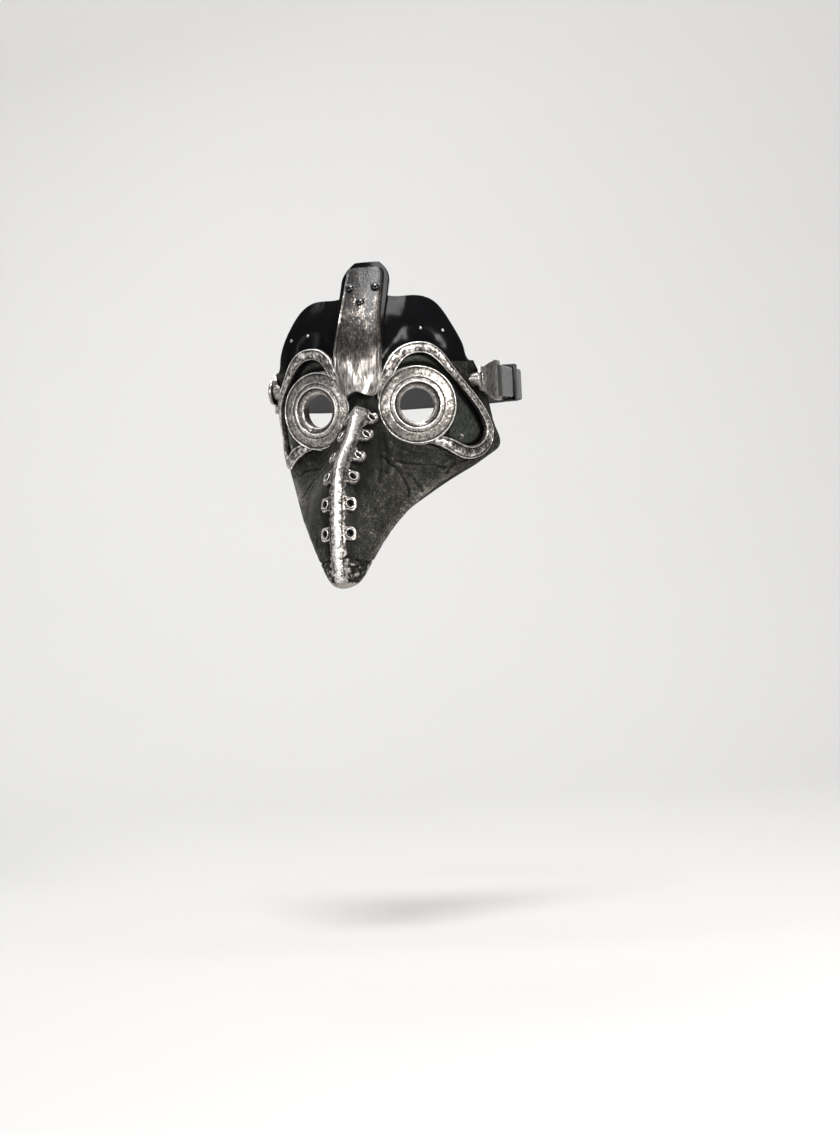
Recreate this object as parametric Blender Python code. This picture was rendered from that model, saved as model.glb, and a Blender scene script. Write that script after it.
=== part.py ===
"""Plague doctor half mask: a hollow leather-look beak mask with riveted goggles and an elastic head strap.

Frame: origin midway between the two eye holes, +Z up, the mask looks along -Y, the wearer's left is +X.
Lengths below are in millimetres and are scaled to metres when a mesh is made.
"""

import math

import bmesh
import bpy
import numpy as np
from mathutils import Matrix, Vector
from mathutils.bvhtree import BVHTree

MM = 0.001
GAP = 0.35  # clearance between pieces that rest on each other
REST = 0.8  # clearance between the facets of a piece lying on the skin and the skin's own facets
SIDES = {"left": 1, "right": -1}  # the wearer's sides

# The outer skin of the wearer's left half. Each station is a line across the skin, from the crown to the
# beak's tip, through five guide points: midline, inner, eye, outer and rim.
STATIONS = {
    "crown": ((0, 21, 98), (14, 22, 98), (30, 27, 97), (45, 36, 95), (60, 52, 92)),
    "hairline": ((0, 7, 76), (14, 8, 76), (30, 12, 75), (45, 19, 74), (60, 31, 72)),
    "forehead": ((0, -9, 53), (14, -8, 52), (31, -2, 52), (46, 5, 52), (60, 16, 52)),
    "brow": ((0, -18, 30), (14, -16, 30), (32, -1, 30), (51, 5, 30), (66, 20, 29)),
    "lid": ((0, -21, 15), (10, -14, 15), (33, 1, 15), (56, 10, 15), (69, 35, 14)),
    "eye": ((0, -25, 2), (8, -13, 0), (33, 2, 0), (57, 12, 0), (70, 47, -1)),
    "cheek": ((0, -39, -15), (9, -26, -15), (32, 1, -17), (56, 13, -16), (71, 57, -15)),
    "corner": ((0, -57, -28), (11, -44, -30), (31, -8, -33), (52, 10, -33), (72, 58, -28)),
    "root": ((0, -74, -38), (12, -60, -42), (27, -32, -46), (42, -10, -46), (60, 22, -40)),
    "upper": ((0, -84, -51), (12, -74, -55), (24, -56, -58), (33, -38, -59), (44, -22, -56)),
    "middle": ((0, -88.5, -69), (10, -82, -71), (18, -74, -73), (25, -65, -75), (31, -53, -74)),
    "lower": ((0, -90.5, -89), (8, -86, -90), (13, -80.5, -92), (17, -77, -93), (20, -68, -93)),
    "hook": ((0, -88, -106), (5.5, -86, -106), (9, -82.5, -106.5), (11.5, -78, -107), (13, -74, -106.5)),
    "tip": ((0, -83.5, -112.5), (3.8, -82.5, -113), (6.5, -80.5, -113), (8.2, -77.5, -112.5), (9, -75, -111.5)),
}
NET = np.array(list(STATIONS.values()), float)
RIM = 4.0  # guide number of the rim
SHELL_T = 3.0
MIDLINE_X = 0.2  # half the seam between the left and right shells

# Brow panels end at this outline, seen from the front, and the temple cut divides them from the face panels.
CROWN_OUTLINE = (
    (5, 80), (16, 72), (30, 71.5), (40, 69.5), (47, 63.5), (53, 54.5), (58, 45), (61, 37), (62, 31), (64, 27.6),
)
TEMPLE_CUT_Z = 27.0

# Goggles. The eye axis leans outward from straight ahead, and so does the direction the frame is seen along.
EYE = Vector((32.8, 0.0, 0.0))
EYE_LEAN = math.radians(18)
EYE_HOLE_R = 11.1
BEZEL_R = 25.3
STEP_R = 17.6
GOGGLE_LEAN = math.radians(30)
# Centreline of the goggle frame as (across, up, width) from the eye, from the nose to the arm under the eye.
FRAME_LINE = (
    (-23, 2, 7), (-22, 15, 9), (-17, 27, 8.5), (-7.5, 35, 7.5), (4.5, 37, 7), (14.5, 31.5, 6), (24, 19, 4.6),
    (33.5, 8, 4.4), (43.5, -2, 4.8), (51, -12, 5.5), (52.3, -20, 6.5), (47.5, -27.2, 7.5), (38.5, -31.3, 8.5),
    (28.5, -30.8, 9), (20, -27, 9), (12.5, -24, 7), (5, -23, 5),
)
FRAME_H = 3.2
PAD_SINK = 1.6
PAD_T = 2.2
PAD_STUD = (30.5, -21.0)  # (across, up) from the eye

# Forehead strap: a black backing with a silver plate riveted on it.
BACKING = {"bottom": 33.0, "top": 94.0, "half_width": 15.6, "thick": 2.4}
PLATE = {"bottom": 8.0, "top": 88.5, "thick": 2.6}
PLATE_RIVETS = ((-8.0, 74.5), (8.0, 74.5), (0.0, 64.5))  # (x, z)
RIVET_R = 2.8

# Beak spine and its lace tabs: height of the midline at each pair of tabs, from the nose to the tip.
SPINE_HALF_W = 3.2
SPINE_H = 3.4
SPINE_TOP_STATION = 5.2
SPINE_END_STATION = 12.45
TAB_HEIGHTS = (-8.5, -20.5, -32.5, -44.8, -61.5, -80.5)
TAB_REACH = 10.2
TAB_WIDTHS = (11.8, 11.8, 11.2, 10.0, 9.8, 9.6)
TAB_H = 2.0
EYELET_X = 6.4
EYELET_HOLE_R = 1.4
EYELET_BARREL_R = 2.0
EYELET_FLANGE_R = 3.0

# The face panels stop here and the tip cap carries on.
TIP_STATION = 11.35
TIP_WALL = 2.6

# Strap fittings at the temples: a rivet along X holds a hanger plate clear of the face.
PIVOT = Vector((70.4, 24.5, 15.5))  # middle of the hanger plate at the rivet
RIVET_SHAFT_R = 1.9
RIVET_HEAD_R = 4.2
BOSS_R = 4.6
HANGER_T = 1.6
HANGER_LINE = ((16.5, 70.4), (32.0, 70.4), (45.0, 75.0), (59.0, 75.0))  # (y, x) of the plate's middle
STRAP_X = 75.0
HANGER_BAR_Y = (54.6, 58.6)
HANGER_SLOT_Y = 49.5
HANGER_HALF_H = 13.0

# Elastic head strap: folded round each hanger's bar, with a two-slot slide on the wearer's left.
BAND_W = 20.0
BAND_T = 1.4
LAYER_X = HANGER_T / 2 + GAP + BAND_T / 2  # from the hanger plate's middle to either layer's middle
FOLD_Y = 55.0
FOLD_END_Y = {"left": 112.0, "right": 76.0}
STRAIGHT_END_Y = 112.0
LOOP_DEPTH = 46.0
SLIDE_Y = 90.0
SLIDE_LENGTH = 7.0
SLIDE_WALL = 1.6

BROW_STUDS = ((37.5, 49.0), (50.5, 47.0))  # (x, z)


def hermite_slopes(values):
    """Slopes of the natural cubic spline through values at 0, 1, 2 ..."""
    count = len(values)
    matrix = 4 * np.eye(count) + np.eye(count, k=1) + np.eye(count, k=-1)
    matrix[0, 0] = matrix[-1, -1] = 2
    right = np.empty_like(values)
    right[0] = 3 * (values[1] - values[0])
    right[-1] = 3 * (values[-1] - values[-2])
    right[1:-1] = 3 * (values[2:] - values[:-2])
    return np.linalg.solve(matrix, right.reshape(count, -1)).reshape(values.shape)


def spline(values, at):
    """The natural cubic spline through values, read at the parameters in at."""
    values = np.asarray(values, float)
    slopes = hermite_slopes(values)
    at = np.clip(np.asarray(at, float), 0, len(values) - 1)
    first = np.minimum(at.astype(int), len(values) - 2)
    u = (at - first).reshape((-1,) + (1,) * (values.ndim - 1))
    start, end = values[first], values[first + 1]
    return (
        start * (1 + 2 * u) * (1 - u) ** 2
        + end * u * u * (3 - 2 * u)
        + slopes[first] * u * (1 - u) ** 2
        + slopes[first + 1] * u * u * (u - 1)
    )


def skin(station, guide, height=0.0):
    """A point of the skin, height above it along its normal. At the midline the normal stays in the x = 0 plane."""
    step = 0.01

    def at(s, g):
        return spline(spline(NET, [s])[0], [g])[0]

    s = min(max(station, step), len(NET) - 1 - step)
    g = min(max(guide, step), RIM - step)
    normal = np.cross(at(s, g + step) - at(s, g - step), at(s + step, g) - at(s - step, g))
    normal = -normal / np.linalg.norm(normal)
    normal[0] *= min(1.0, guide / 0.6)
    normal /= np.linalg.norm(normal)
    return at(station, guide) + height * normal


def skin_grid(stations, guides, height):
    """Rows of skin points at the given stations and guides."""
    return [[skin(s, g, height) for g in guides] for s in stations]


def mesh_object(name, points, faces, side=1):
    """An object from points in millimetres; side -1 mirrors it to the wearer's right."""
    mesh = bpy.data.meshes.new(name)
    mesh.from_pydata([(side * p[0] * MM, p[1] * MM, p[2] * MM) for p in points], [], faces)
    bm = bmesh.new()
    bm.from_mesh(mesh)
    bmesh.ops.remove_doubles(bm, verts=bm.verts, dist=0.001 * MM)
    bmesh.ops.recalc_face_normals(bm, faces=bm.faces)
    bm.to_mesh(mesh)
    bm.free()
    obj = bpy.data.objects.new(name, mesh)
    bpy.context.scene.collection.objects.link(obj)
    return obj


def slab(name, outer, inner, side=1):
    """A closed solid between two grids of points of the same size."""
    rows, cols = len(outer), len(outer[0])
    points = [p for row in outer for p in row] + [p for row in inner for p in row]
    back = rows * cols
    faces = []
    for i in range(rows - 1):
        for j in range(cols - 1):
            a, b, c, d = i * cols + j, i * cols + j + 1, (i + 1) * cols + j + 1, (i + 1) * cols + j
            faces += [(a, b, c, d), (back + d, back + c, back + b, back + a)]
    border = [(0, j) for j in range(cols)] + [(i, cols - 1) for i in range(1, rows)]
    border += [(rows - 1, j) for j in range(cols - 2, -1, -1)] + [(i, 0) for i in range(rows - 2, 0, -1)]
    for (i, j), (k, m) in zip(border, border[1:] + border[:1]):
        a, b = i * cols + j, k * cols + m
        faces.append((b, a, back + a, back + b))
    return mesh_object(name, points, faces, side)


def ring_stack(name, loops, side=1):
    """A closed solid through loops of the same number of points, capped at both ends."""
    count = len(loops[0])
    points = [p for loop in loops for p in loop]
    faces = []
    for i in range(len(loops) - 1):
        for j in range(count):
            k = (j + 1) % count
            faces.append((i * count + j, i * count + k, (i + 1) * count + k, (i + 1) * count + j))
    faces.append(tuple(range(count)))
    faces.append(tuple(range(len(points) - 1, len(points) - 1 - count, -1)))
    return mesh_object(name, points, faces, side)


def turned(name, profile, centre, axis, segments=40, side=1):
    """A ring turned about an axis from a closed profile of (radius, along the axis) points."""
    axis = Vector(axis).normalized()
    across = axis.orthogonal().normalized()
    other = axis.cross(across)
    points = []
    for k in range(segments):
        angle = 2 * math.pi * k / segments
        out = math.cos(angle) * across + math.sin(angle) * other
        points += [Vector(centre) + r * out + h * axis for r, h in profile]
    count = len(profile)
    faces = []
    for k in range(segments):
        for j in range(count):
            a, b = k * count, (k + 1) % segments * count
            n = (j + 1) % count
            faces.append((a + j, a + n, b + n, b + j))
    return mesh_object(name, points, faces, side)


def disc_stack(name, profile, centre, axis, segments=20, side=1):
    """A solid of revolution from (radius, along the axis) points, closed by flat ends."""
    axis = Vector(axis).normalized()
    across = axis.orthogonal().normalized()
    other = axis.cross(across)
    loops = []
    for r, h in profile:
        angles = [2 * math.pi * k / segments for k in range(segments)]
        foot = Vector(centre) + h * axis
        loops.append([foot + r * (math.cos(a) * across + math.sin(a) * other) for a in angles])
    return ring_stack(name, loops, side)


def prism(name, outline, origin, across, up, depth, side=1):
    """A cutter: an outline of (across, up) points pushed both ways along the direction square to it."""
    along = Vector(across).cross(Vector(up)).normalized()
    loops = []
    for level in (-depth, depth):
        loops.append([Vector(origin) + a * Vector(across) + b * Vector(up) + level * along for a, b in outline])
    return as_cutter(ring_stack(name, loops, side))


def as_cutter(obj):
    obj.hide_render = True
    obj.display_type = "WIRE"
    return obj


def cut(obj, cutter, operation="DIFFERENCE"):
    modifier = obj.modifiers.new(cutter.name, "BOOLEAN")
    modifier.operation = operation
    modifier.object = cutter
    return obj


def lean(angle):
    """(outward, forward) unit directions of a plane turned outward by angle."""
    return Vector((math.cos(angle), math.sin(angle), 0)), Vector((math.sin(angle), -math.cos(angle), 0))


UP = Vector((0, 0, 1))
EYE_OUT, EYE_AXIS = lean(EYE_LEAN)
GOGGLE_OUT, GOGGLE_AXIS = lean(GOGGLE_LEAN)


def frame_line(count):
    """The goggle frame's centreline as count rows of (across, up, width)."""
    return spline(FRAME_LINE, np.linspace(0, len(FRAME_LINE) - 1, count)).tolist()


def skin_tree():
    """The left skin as a search tree, for pieces that lie on it."""
    stations = np.linspace(0, len(NET) - 1, 79)
    guides = np.linspace(0, RIM, 33)
    grid = skin_grid(stations, guides, 0.0)
    cols = len(guides)
    faces = []
    for i in range(len(stations) - 1):
        for j in range(cols - 1):
            a = i * cols + j
            faces.append((a, a + 1, a + cols + 1, a + cols))
    return BVHTree.FromPolygons([Vector(p) for row in grid for p in row], faces)


def on_skin(tree, start, direction, height):
    """Where a line from start meets the skin, lifted by height along the skin's normal."""
    hit, normal, _, _ = tree.ray_cast(start, direction)
    if hit is None:
        raise ValueError(f"no skin in front of {tuple(start)}")
    if normal.dot(direction) > 0:
        normal = -normal
    return hit + height * normal


def goggle_point(tree, across, up, height):
    """A point over the goggle area, given from the eye, lifted off the skin."""
    start = EYE + across * GOGGLE_OUT + up * UP + 80 * GOGGLE_AXIS
    return on_skin(tree, start, -GOGGLE_AXIS, height)


def goggle_outline(shrink):
    """Outline of the opening under the frame: its centreline moved inward by shrink, closed through the eye."""
    rows = frame_line(40)
    outline = []
    for before, here, after in zip(rows[:-2], rows[1:-1], rows[2:]):
        run = Vector((after[0] - before[0], after[1] - before[1])).normalized()
        outline.append((here[0] + shrink * run.y, here[1] - shrink * run.x))
    return outline + [(6, -6), (-6, -2)]


def half_shell(name, stations, guides, outer_h, inner_h, side):
    """A wall of the skin between two heights. At the midline it ends on a flat seam."""
    outer = [seam_row(station, guides, outer_h) for station in stations]
    inner = [seam_row(station, guides, inner_h) for station in stations]
    return slab(name, outer, inner, side)


def seam_row(station, guides, height):
    """One row of points at a height over the skin, starting on the seam if the guides start at the midline."""
    if guides[0] > 0:
        return [skin(station, g, height) for g in guides]
    tries = np.linspace(0, 1.5, 31)
    crossed = [g for g in tries if skin(station, g, height)[0] < MIDLINE_X]
    start = crossed[-1] + tries[1] / 2
    row = [skin(station, start + g * (RIM - start) / RIM, height) for g in guides]
    row[0][0] = MIDLINE_X
    return row


def shell_panels(side_name):
    """The brow and face panels of one side, cut from the same skin."""
    side = SIDES[side_name]
    opening = prism(f"cut_opening_{side_name}", goggle_outline(0), EYE, GOGGLE_OUT, UP, 70, side)
    eye = turned_cutter(f"cut_eye_{side_name}", BEZEL_R + GAP, side)
    low = TEMPLE_CUT_Z + GAP / 2
    crown = ((-5, low), (-5, 80)) + CROWN_OUTLINE + ((90, 27.6), (90, low))
    outline = prism(f"cut_crown_{side_name}", crown, (0, 0, 0), (1, 0, 0), UP, 120, side)
    above = rectangle(-5, TEMPLE_CUT_Z - GAP / 2, 95, 130)
    above = prism(f"cut_above_{side_name}", above, (0, 0, 0), (1, 0, 0), UP, 120, side)
    stations, guides = np.linspace(0, 3.9, 10), np.linspace(0, RIM, 10)
    brow = half_shell(f"brow_panel_{side_name}", stations, guides, 0, -SHELL_T, side)
    cut(brow, outline, "INTERSECT")
    cut(brow, opening)
    face = half_shell(
        f"face_panel_{side_name}", np.linspace(3, TIP_STATION, 21), np.linspace(0, RIM, 12), 0, -SHELL_T, side
    )
    cut(face, above)
    cut(face, opening)
    cut(face, eye)


def rectangle(left, bottom, right, top):
    return ((left, bottom), (right, bottom), (right, top), (left, top))


def turned_cutter(name, radius, side):
    profile = ((radius, -60), (radius, 60))
    return as_cutter(disc_stack(name, profile, EYE, EYE_AXIS, 48, side))


def goggles(side_name, tree):
    """The pad, bezel, inner ring and frame round one eye."""
    side = SIDES[side_name]
    stations, guides = np.linspace(2.4, 7.6, 13), np.linspace(0.6, 3.96, 10)
    pad = half_shell(f"goggle_pad_{side_name}", stations, guides, -PAD_SINK, -PAD_SINK - PAD_T, side)
    inside = prism(f"cut_pad_{side_name}", goggle_outline(GAP), EYE, GOGGLE_OUT, UP, 70, side)
    cut(pad, inside, "INTERSECT")
    cut(pad, turned_cutter(f"cut_pad_eye_{side_name}", BEZEL_R + GAP, side))
    bezel = (
        (STEP_R + GAP, -5), (BEZEL_R, -5), (BEZEL_R, 2.6), (BEZEL_R - 0.8, 3.1), (BEZEL_R - 1.8, 2.4),
        (STEP_R + 1.0, 3.8), (STEP_R + GAP, 3.4),
    )
    turned(f"eye_bezel_{side_name}", bezel, EYE, EYE_AXIS, 32, side)
    ring = (
        (EYE_HOLE_R, -5), (STEP_R, -5), (STEP_R, 3.3), (STEP_R - 2.2, 4.5), (STEP_R - 3.2, 3.6),
        (EYE_HOLE_R + 1.2, 1.9), (EYE_HOLE_R, 0.8),
    )
    turned(f"eye_ring_{side_name}", ring, EYE, EYE_AXIS, 28, side)
    goggle_frame(side_name, tree)
    stud = goggle_point(tree, *PAD_STUD, -PAD_SINK + REST)
    axis = goggle_point(tree, *PAD_STUD, 10) - goggle_point(tree, *PAD_STUD, 0)
    profile = ((1.6, 0), (1.6, 0.5), (1.2, 1.1), (0.5, 1.4))
    disc_stack(f"pad_stud_{side_name}", profile, stud, axis, 12, side)


def goggle_frame(side_name, tree):
    """The silver band round the goggles: a domed strip along the frame's line."""
    section = ((-0.5, 0.0), (-0.5, 0.6), (-0.2, 1.0), (0.2, 1.0), (0.5, 0.6), (0.5, 0.0))
    rows = frame_line(34)
    loops = []
    for before, here, after in zip(rows[:-2], rows[1:-1], rows[2:]):
        run = Vector((after[0] - before[0], after[1] - before[1])).normalized()
        loop = []
        for across, high in section:
            reach = across * here[2]
            a, b = here[0] + reach * run.y, here[1] - reach * run.x
            loop.append(goggle_point(tree, a, b, REST + high * (FRAME_H - REST)))
        loops.append(loop)
    frame = ring_stack(f"goggle_frame_{side_name}", loops, SIDES[side_name])
    cut(frame, turned_cutter(f"cut_frame_eye_{side_name}", BEZEL_R + GAP, SIDES[side_name]))


def plate_half_width(z):
    """The silver plate's half width: it narrows upward and is rounded at its lower end."""
    low, top = z - PLATE["bottom"], PLATE["top"] - z
    width = float(np.interp(z, (PLATE["bottom"], 22, 36, PLATE["top"]), (9.5, 12.4, 13.8, 11.8)))
    return width - 5.0 * max(0.0, 1 - low / 8.0) ** 2 - 2.0 * max(0.0, 1 - top / 4.0) ** 2


def backing_half_width(z):
    top = BACKING["top"] - z
    return BACKING["half_width"] - 7.5 * max(0.0, 1 - top / 13.0) ** 2


def forehead_strip(name, z_low, z_high, half_width, low_h, high_h, rows, edge_drop):
    """A strip up the forehead, from low_h to high_h over the skin, arched where the skin is a ridge."""
    parts = np.linspace(-1, 1, 7)
    outer, inner = [], []
    for z in np.linspace(z_low, z_high, rows):
        station = station_at(z)
        half = half_width(z)
        front = [strip_point(station, part * half, high_h - edge_drop * part * part) for part in parts]
        middle, edge = front[3], front[6]
        for part, point in zip(parts, front):
            point[1] = min(point[1], middle[1] + part * part * (edge[1] - middle[1]))
        outer.append(front)
        inner.append([strip_point(station, part * half, low_h) for part in parts])
    return slab(name, outer, inner)


def station_at(z):
    """The station whose midline point has this height."""
    stations = np.linspace(0, len(NET) - 1, 400)
    heights = spline(NET[:, 0], stations)[:, 2]
    return float(np.interp(-z, -heights, stations))


def strip_point(station, x, height):
    """A point over the skin at x from the midline, on either side."""
    guides = np.linspace(0, 2, 60)
    across = spline(spline(NET, [station])[0], guides)[:, 0]
    guide = float(np.interp(abs(x), across, guides))
    point = skin(station, guide, height)
    point[0] = math.copysign(point[0], x) if abs(x) > 1e-6 else 0.0
    return point


def forehead():
    forehead_strip(
        "forehead_backing", BACKING["bottom"], BACKING["top"], backing_half_width,
        REST, REST + BACKING["thick"], 12, 0.6,
    )
    plate_low = REST + BACKING["thick"] + GAP
    forehead_strip(
        "forehead_plate", PLATE["bottom"], PLATE["top"], plate_half_width,
        plate_low, plate_low + PLATE["thick"], 14, 0.8,
    )
    for number, (x, z) in enumerate(PLATE_RIVETS, 1):
        station = station_at(z)
        foot = Vector(strip_point(station, x, plate_low + PLATE["thick"] + REST))
        axis = Vector(strip_point(station, x, 10)) - Vector(strip_point(station, x, 0))
        profile = ((RIVET_R, 0), (RIVET_R, 0.4), (RIVET_R * 0.75, 1.1), (RIVET_R * 0.3, 1.4))
        disc_stack(f"forehead_rivet_{number}", profile, foot, axis, 14)


def spine():
    """The silver bar along the beak's ridge."""
    section = (
        (-1, 0.0), (-1, 0.45), (-0.5, 0.75), (0, 1.0), (0.5, 0.75), (1, 0.45), (1, 0.0),
        (0.5, 0.0), (0, 0.0), (-0.5, 0.0),
    )
    loops = []
    for station in np.linspace(SPINE_TOP_STATION, SPINE_END_STATION, 22):
        half = SPINE_HALF_W * (1.0 - 0.35 * max(0.0, station - 11) / 2)
        loops.append([strip_point(station, part * half, REST + high * SPINE_H) for part, high in section])
    ring_stack("beak_spine", loops)


def lace_tabs(side_name):
    """Six tabs beside the spine, each with a metal eyelet in its hole."""
    side = SIDES[side_name]
    for number, (height, width) in enumerate(zip(TAB_HEIGHTS, TAB_WIDTHS), 1):
        station = station_at(height)
        per_station = np.linalg.norm(skin(station + 0.05, 0.4) - skin(station - 0.05, 0.4)) / 0.1
        half = width / 2 / per_station
        outer, inner = [], []
        for along in (-1, -0.75, 0, 0.75, 1):
            reach = TAB_REACH - 2.2 * along ** 4
            xs = np.linspace(SPINE_HALF_W + GAP, reach, 3)
            outer.append([strip_point(station + along * half, x, REST + TAB_H) for x in xs])
            inner.append([strip_point(station + along * half, x, REST) for x in xs])
        tab = slab(f"lace_tab_{side_name}_{number}", outer, inner, side)
        foot = Vector(strip_point(station, EYELET_X, REST))
        axis = (Vector(strip_point(station, EYELET_X, 4)) - foot).normalized()
        hole = ((EYELET_BARREL_R + GAP, -6), (EYELET_BARREL_R + GAP, 6))
        cut(tab, as_cutter(disc_stack(f"cut_tab_{side_name}_{number}", hole, foot, axis, 12, side)))
        flange = TAB_H + GAP
        profile = (
            (EYELET_HOLE_R, 0), (EYELET_BARREL_R, 0), (EYELET_BARREL_R, flange), (EYELET_FLANGE_R, flange),
            (EYELET_FLANGE_R - 0.7, flange + 0.8), (EYELET_HOLE_R, flange + 0.6),
        )
        turned(f"eyelet_{side_name}_{number}", profile, foot, axis, 12, side)


def both_halves(row):
    """A row of left points, midline first, continued onto the wearer's right."""
    return [(-p[0], p[1], p[2]) for p in row[:0:-1]] + [tuple(p) for p in row]


def tip_cap():
    """The beak's closed point: a thin wall carried on from the face panels."""
    guides = np.linspace(0, RIM, 6)
    outer, inner = [], []
    for station in np.linspace(TIP_STATION + 0.03, 13, 6):
        row = [skin(station, g) for g in guides]
        centre = np.array((0, row[-1][1], row[-1][2]))
        wall = [centre + (p - centre) * max(0.25, 1 - TIP_WALL / np.linalg.norm(p - centre)) for p in row]
        outer.append(both_halves(row))
        inner.append(both_halves(wall))
    for shrink, drop in ((0.75, 1.2), (0.4, 2.0), (0.1, 2.3)):
        outer.append([(p[0] * shrink, -80 + (p[1] + 80) * shrink, p[2] - drop) for p in outer[5]])
        inner.append([(p[0] * shrink, -80 + (p[1] + 80) * shrink, p[2] - drop + 1.6) for p in inner[5]])
    slab("beak_tip_cap", outer, inner)


def brow_studs(side_name, tree):
    side = SIDES[side_name]
    for number, (x, z) in enumerate(BROW_STUDS, 1):
        start = Vector((x, -80, z))
        foot = on_skin(tree, start, Vector((0, 1, 0)), REST)
        axis = on_skin(tree, start, Vector((0, 1, 0)), 10) - foot
        profile = ((1.2, 0), (1.1, 0.5), (0.5, 1.0))
        disc_stack(f"brow_stud_{side_name}_{number}", profile, foot, axis, 10, side)


def temple_patch(name, low, high, side):
    """A cutter between two heights over the skin round the rivet."""
    stations = np.linspace(2.9, 5.2, 8)
    guides = np.linspace(2.8, RIM, 6)
    return as_cutter(slab(name, skin_grid(stations, guides, high), skin_grid(stations, guides, low), side))


def temple_fittings(side_name, tree):
    """Boss, washer, rivet and hanger plate of one temple."""
    side = SIDES[side_name]
    x_axis = Vector((1, 0, 0))
    wall_x = on_skin(tree, PIVOT + 60 * x_axis, -x_axis, 0).x
    seat = Vector((wall_x, PIVOT.y, PIVOT.z))
    inside_x = -SHELL_T - 5.6
    plate_x = PIVOT.x - wall_x - HANGER_T / 2
    shaft = as_cutter(
        disc_stack(
            f"cut_shaft_{side_name}", ((RIVET_SHAFT_R + GAP, -30), (RIVET_SHAFT_R + GAP, 30)), seat, x_axis, 16, side
        )
    )
    cut(bpy.data.objects[f"face_panel_{side_name}"], shaft)
    boss_profile = ((BOSS_R, -6), (BOSS_R, plate_x - GAP))
    boss = disc_stack(f"temple_boss_{side_name}", boss_profile, seat, x_axis, 18, side)
    cut(boss, temple_patch(f"cut_boss_{side_name}", -14, REST, side))
    cut(boss, shaft)
    washer = disc_stack(f"temple_washer_{side_name}", ((BOSS_R, inside_x), (BOSS_R, 4)), seat, x_axis, 18, side)
    cut(washer, temple_patch(f"cut_washer_{side_name}", -SHELL_T - REST, 14, side))
    cut(washer, shaft)
    head = plate_x + HANGER_T + GAP
    profile = (
        (RIVET_HEAD_R, inside_x - GAP - 1.2), (RIVET_HEAD_R, inside_x - GAP), (RIVET_SHAFT_R, inside_x - GAP),
        (RIVET_SHAFT_R, head), (RIVET_HEAD_R, head), (RIVET_HEAD_R, head + 0.6), (RIVET_HEAD_R * 0.75, head + 1.5),
        (RIVET_HEAD_R * 0.35, head + 1.9),
    )
    disc_stack(f"temple_rivet_{side_name}", profile, seat, x_axis, 14, side)
    hanger(side_name, shaft)


def hanger(side_name, shaft):
    """A flat plate from the temple rivet back to the bar the strap is folded round."""
    side = SIDES[side_name]
    ys = (16.6, 17.2, 18.5, 20.5, 24.5, 28.5, 32.0, 35.0, 40.0, 45.0, 50.0, HANGER_BAR_Y[1] - 1.5, HANGER_BAR_Y[1])
    line_y, line_x = zip(*HANGER_LINE)
    outer, inner = [], []
    for y in ys:
        x = float(np.interp(y, line_y, line_x))
        half_h = hanger_half_height(y)
        heights = np.linspace(PIVOT.z - half_h, PIVOT.z + half_h, 5)
        outer.append([(x + HANGER_T / 2, y, z) for z in heights])
        inner.append([(x - HANGER_T / 2, y, z) for z in heights])
    plate = slab(f"strap_hanger_{side_name}", outer, inner, side)
    slot_half = BAND_W / 2 + GAP
    slot = rectangle(HANGER_SLOT_Y, PIVOT.z - slot_half, HANGER_BAR_Y[0], PIVOT.z + slot_half)
    cut(plate, prism(f"cut_slot_{side_name}", slot, (STRAP_X, 0, 0), (0, 1, 0), UP, 10, side))
    cut(plate, shaft)


def hanger_half_height(y):
    """Half the hanger's height: a round nose at the rivet, widening to the strap's bar."""
    nose = 8.0
    if y < PIVOT.y:
        return math.sqrt(max(0.0, nose * nose - (PIVOT.y - y) ** 2))
    if y > HANGER_BAR_Y[1] - 0.1:
        return HANGER_HALF_H - 1.5
    return float(np.interp(y, (PIVOT.y + 5, HANGER_SLOT_Y - 5), (nose, HANGER_HALF_H)))


def strap_path():
    """Middle line of the elastic in plan, from the left fold's end round the head to the right fold's end."""
    left = [(STRAP_X - LAYER_X, y) for y in np.linspace(FOLD_END_Y["left"], FOLD_Y, 5)]
    fold = np.linspace(0, math.pi, 9)[1:-1]
    turn = [(STRAP_X - LAYER_X * math.cos(a), FOLD_Y - LAYER_X * math.sin(a)) for a in fold]
    outer_x = STRAP_X + LAYER_X
    run = [(outer_x, y) for y in np.linspace(FOLD_Y, STRAIGHT_END_Y, 5)]
    angles = np.linspace(0, math.pi, 21)[1:-1]
    bend = [(outer_x * math.cos(a), STRAIGHT_END_Y + LOOP_DEPTH * math.sin(a)) for a in angles]
    right = [(-x, y) for x, y in (run[::-1] + turn[::-1])]
    end = [(-(STRAP_X - LAYER_X), y) for y in np.linspace(FOLD_Y, FOLD_END_Y["right"], 3)]
    return left + turn + run + bend + right + end


def head_strap():
    path = [Vector((x, y, 0)) for x, y in strap_path()]
    half_w, half_t = BAND_W / 2, BAND_T / 2
    section = ((-half_t, -half_w), (half_t, -half_w), (half_t, half_w), (-half_t, half_w))
    loops = []
    for number, here in enumerate(path):
        ahead = path[min(number + 1, len(path) - 1)] - here
        behind = here - path[max(number - 1, 0)]
        ahead = ahead.normalized() if ahead.length else behind.normalized()
        behind = behind.normalized() if behind.length else ahead
        run = (ahead + behind).normalized()
        across = Vector((run.y, -run.x, 0)) / max(0.3, run.dot(ahead))
        loops.append([here + a * across + (PIVOT.z + b) * UP for a, b in section])
    ring_stack("head_strap", loops)


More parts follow.
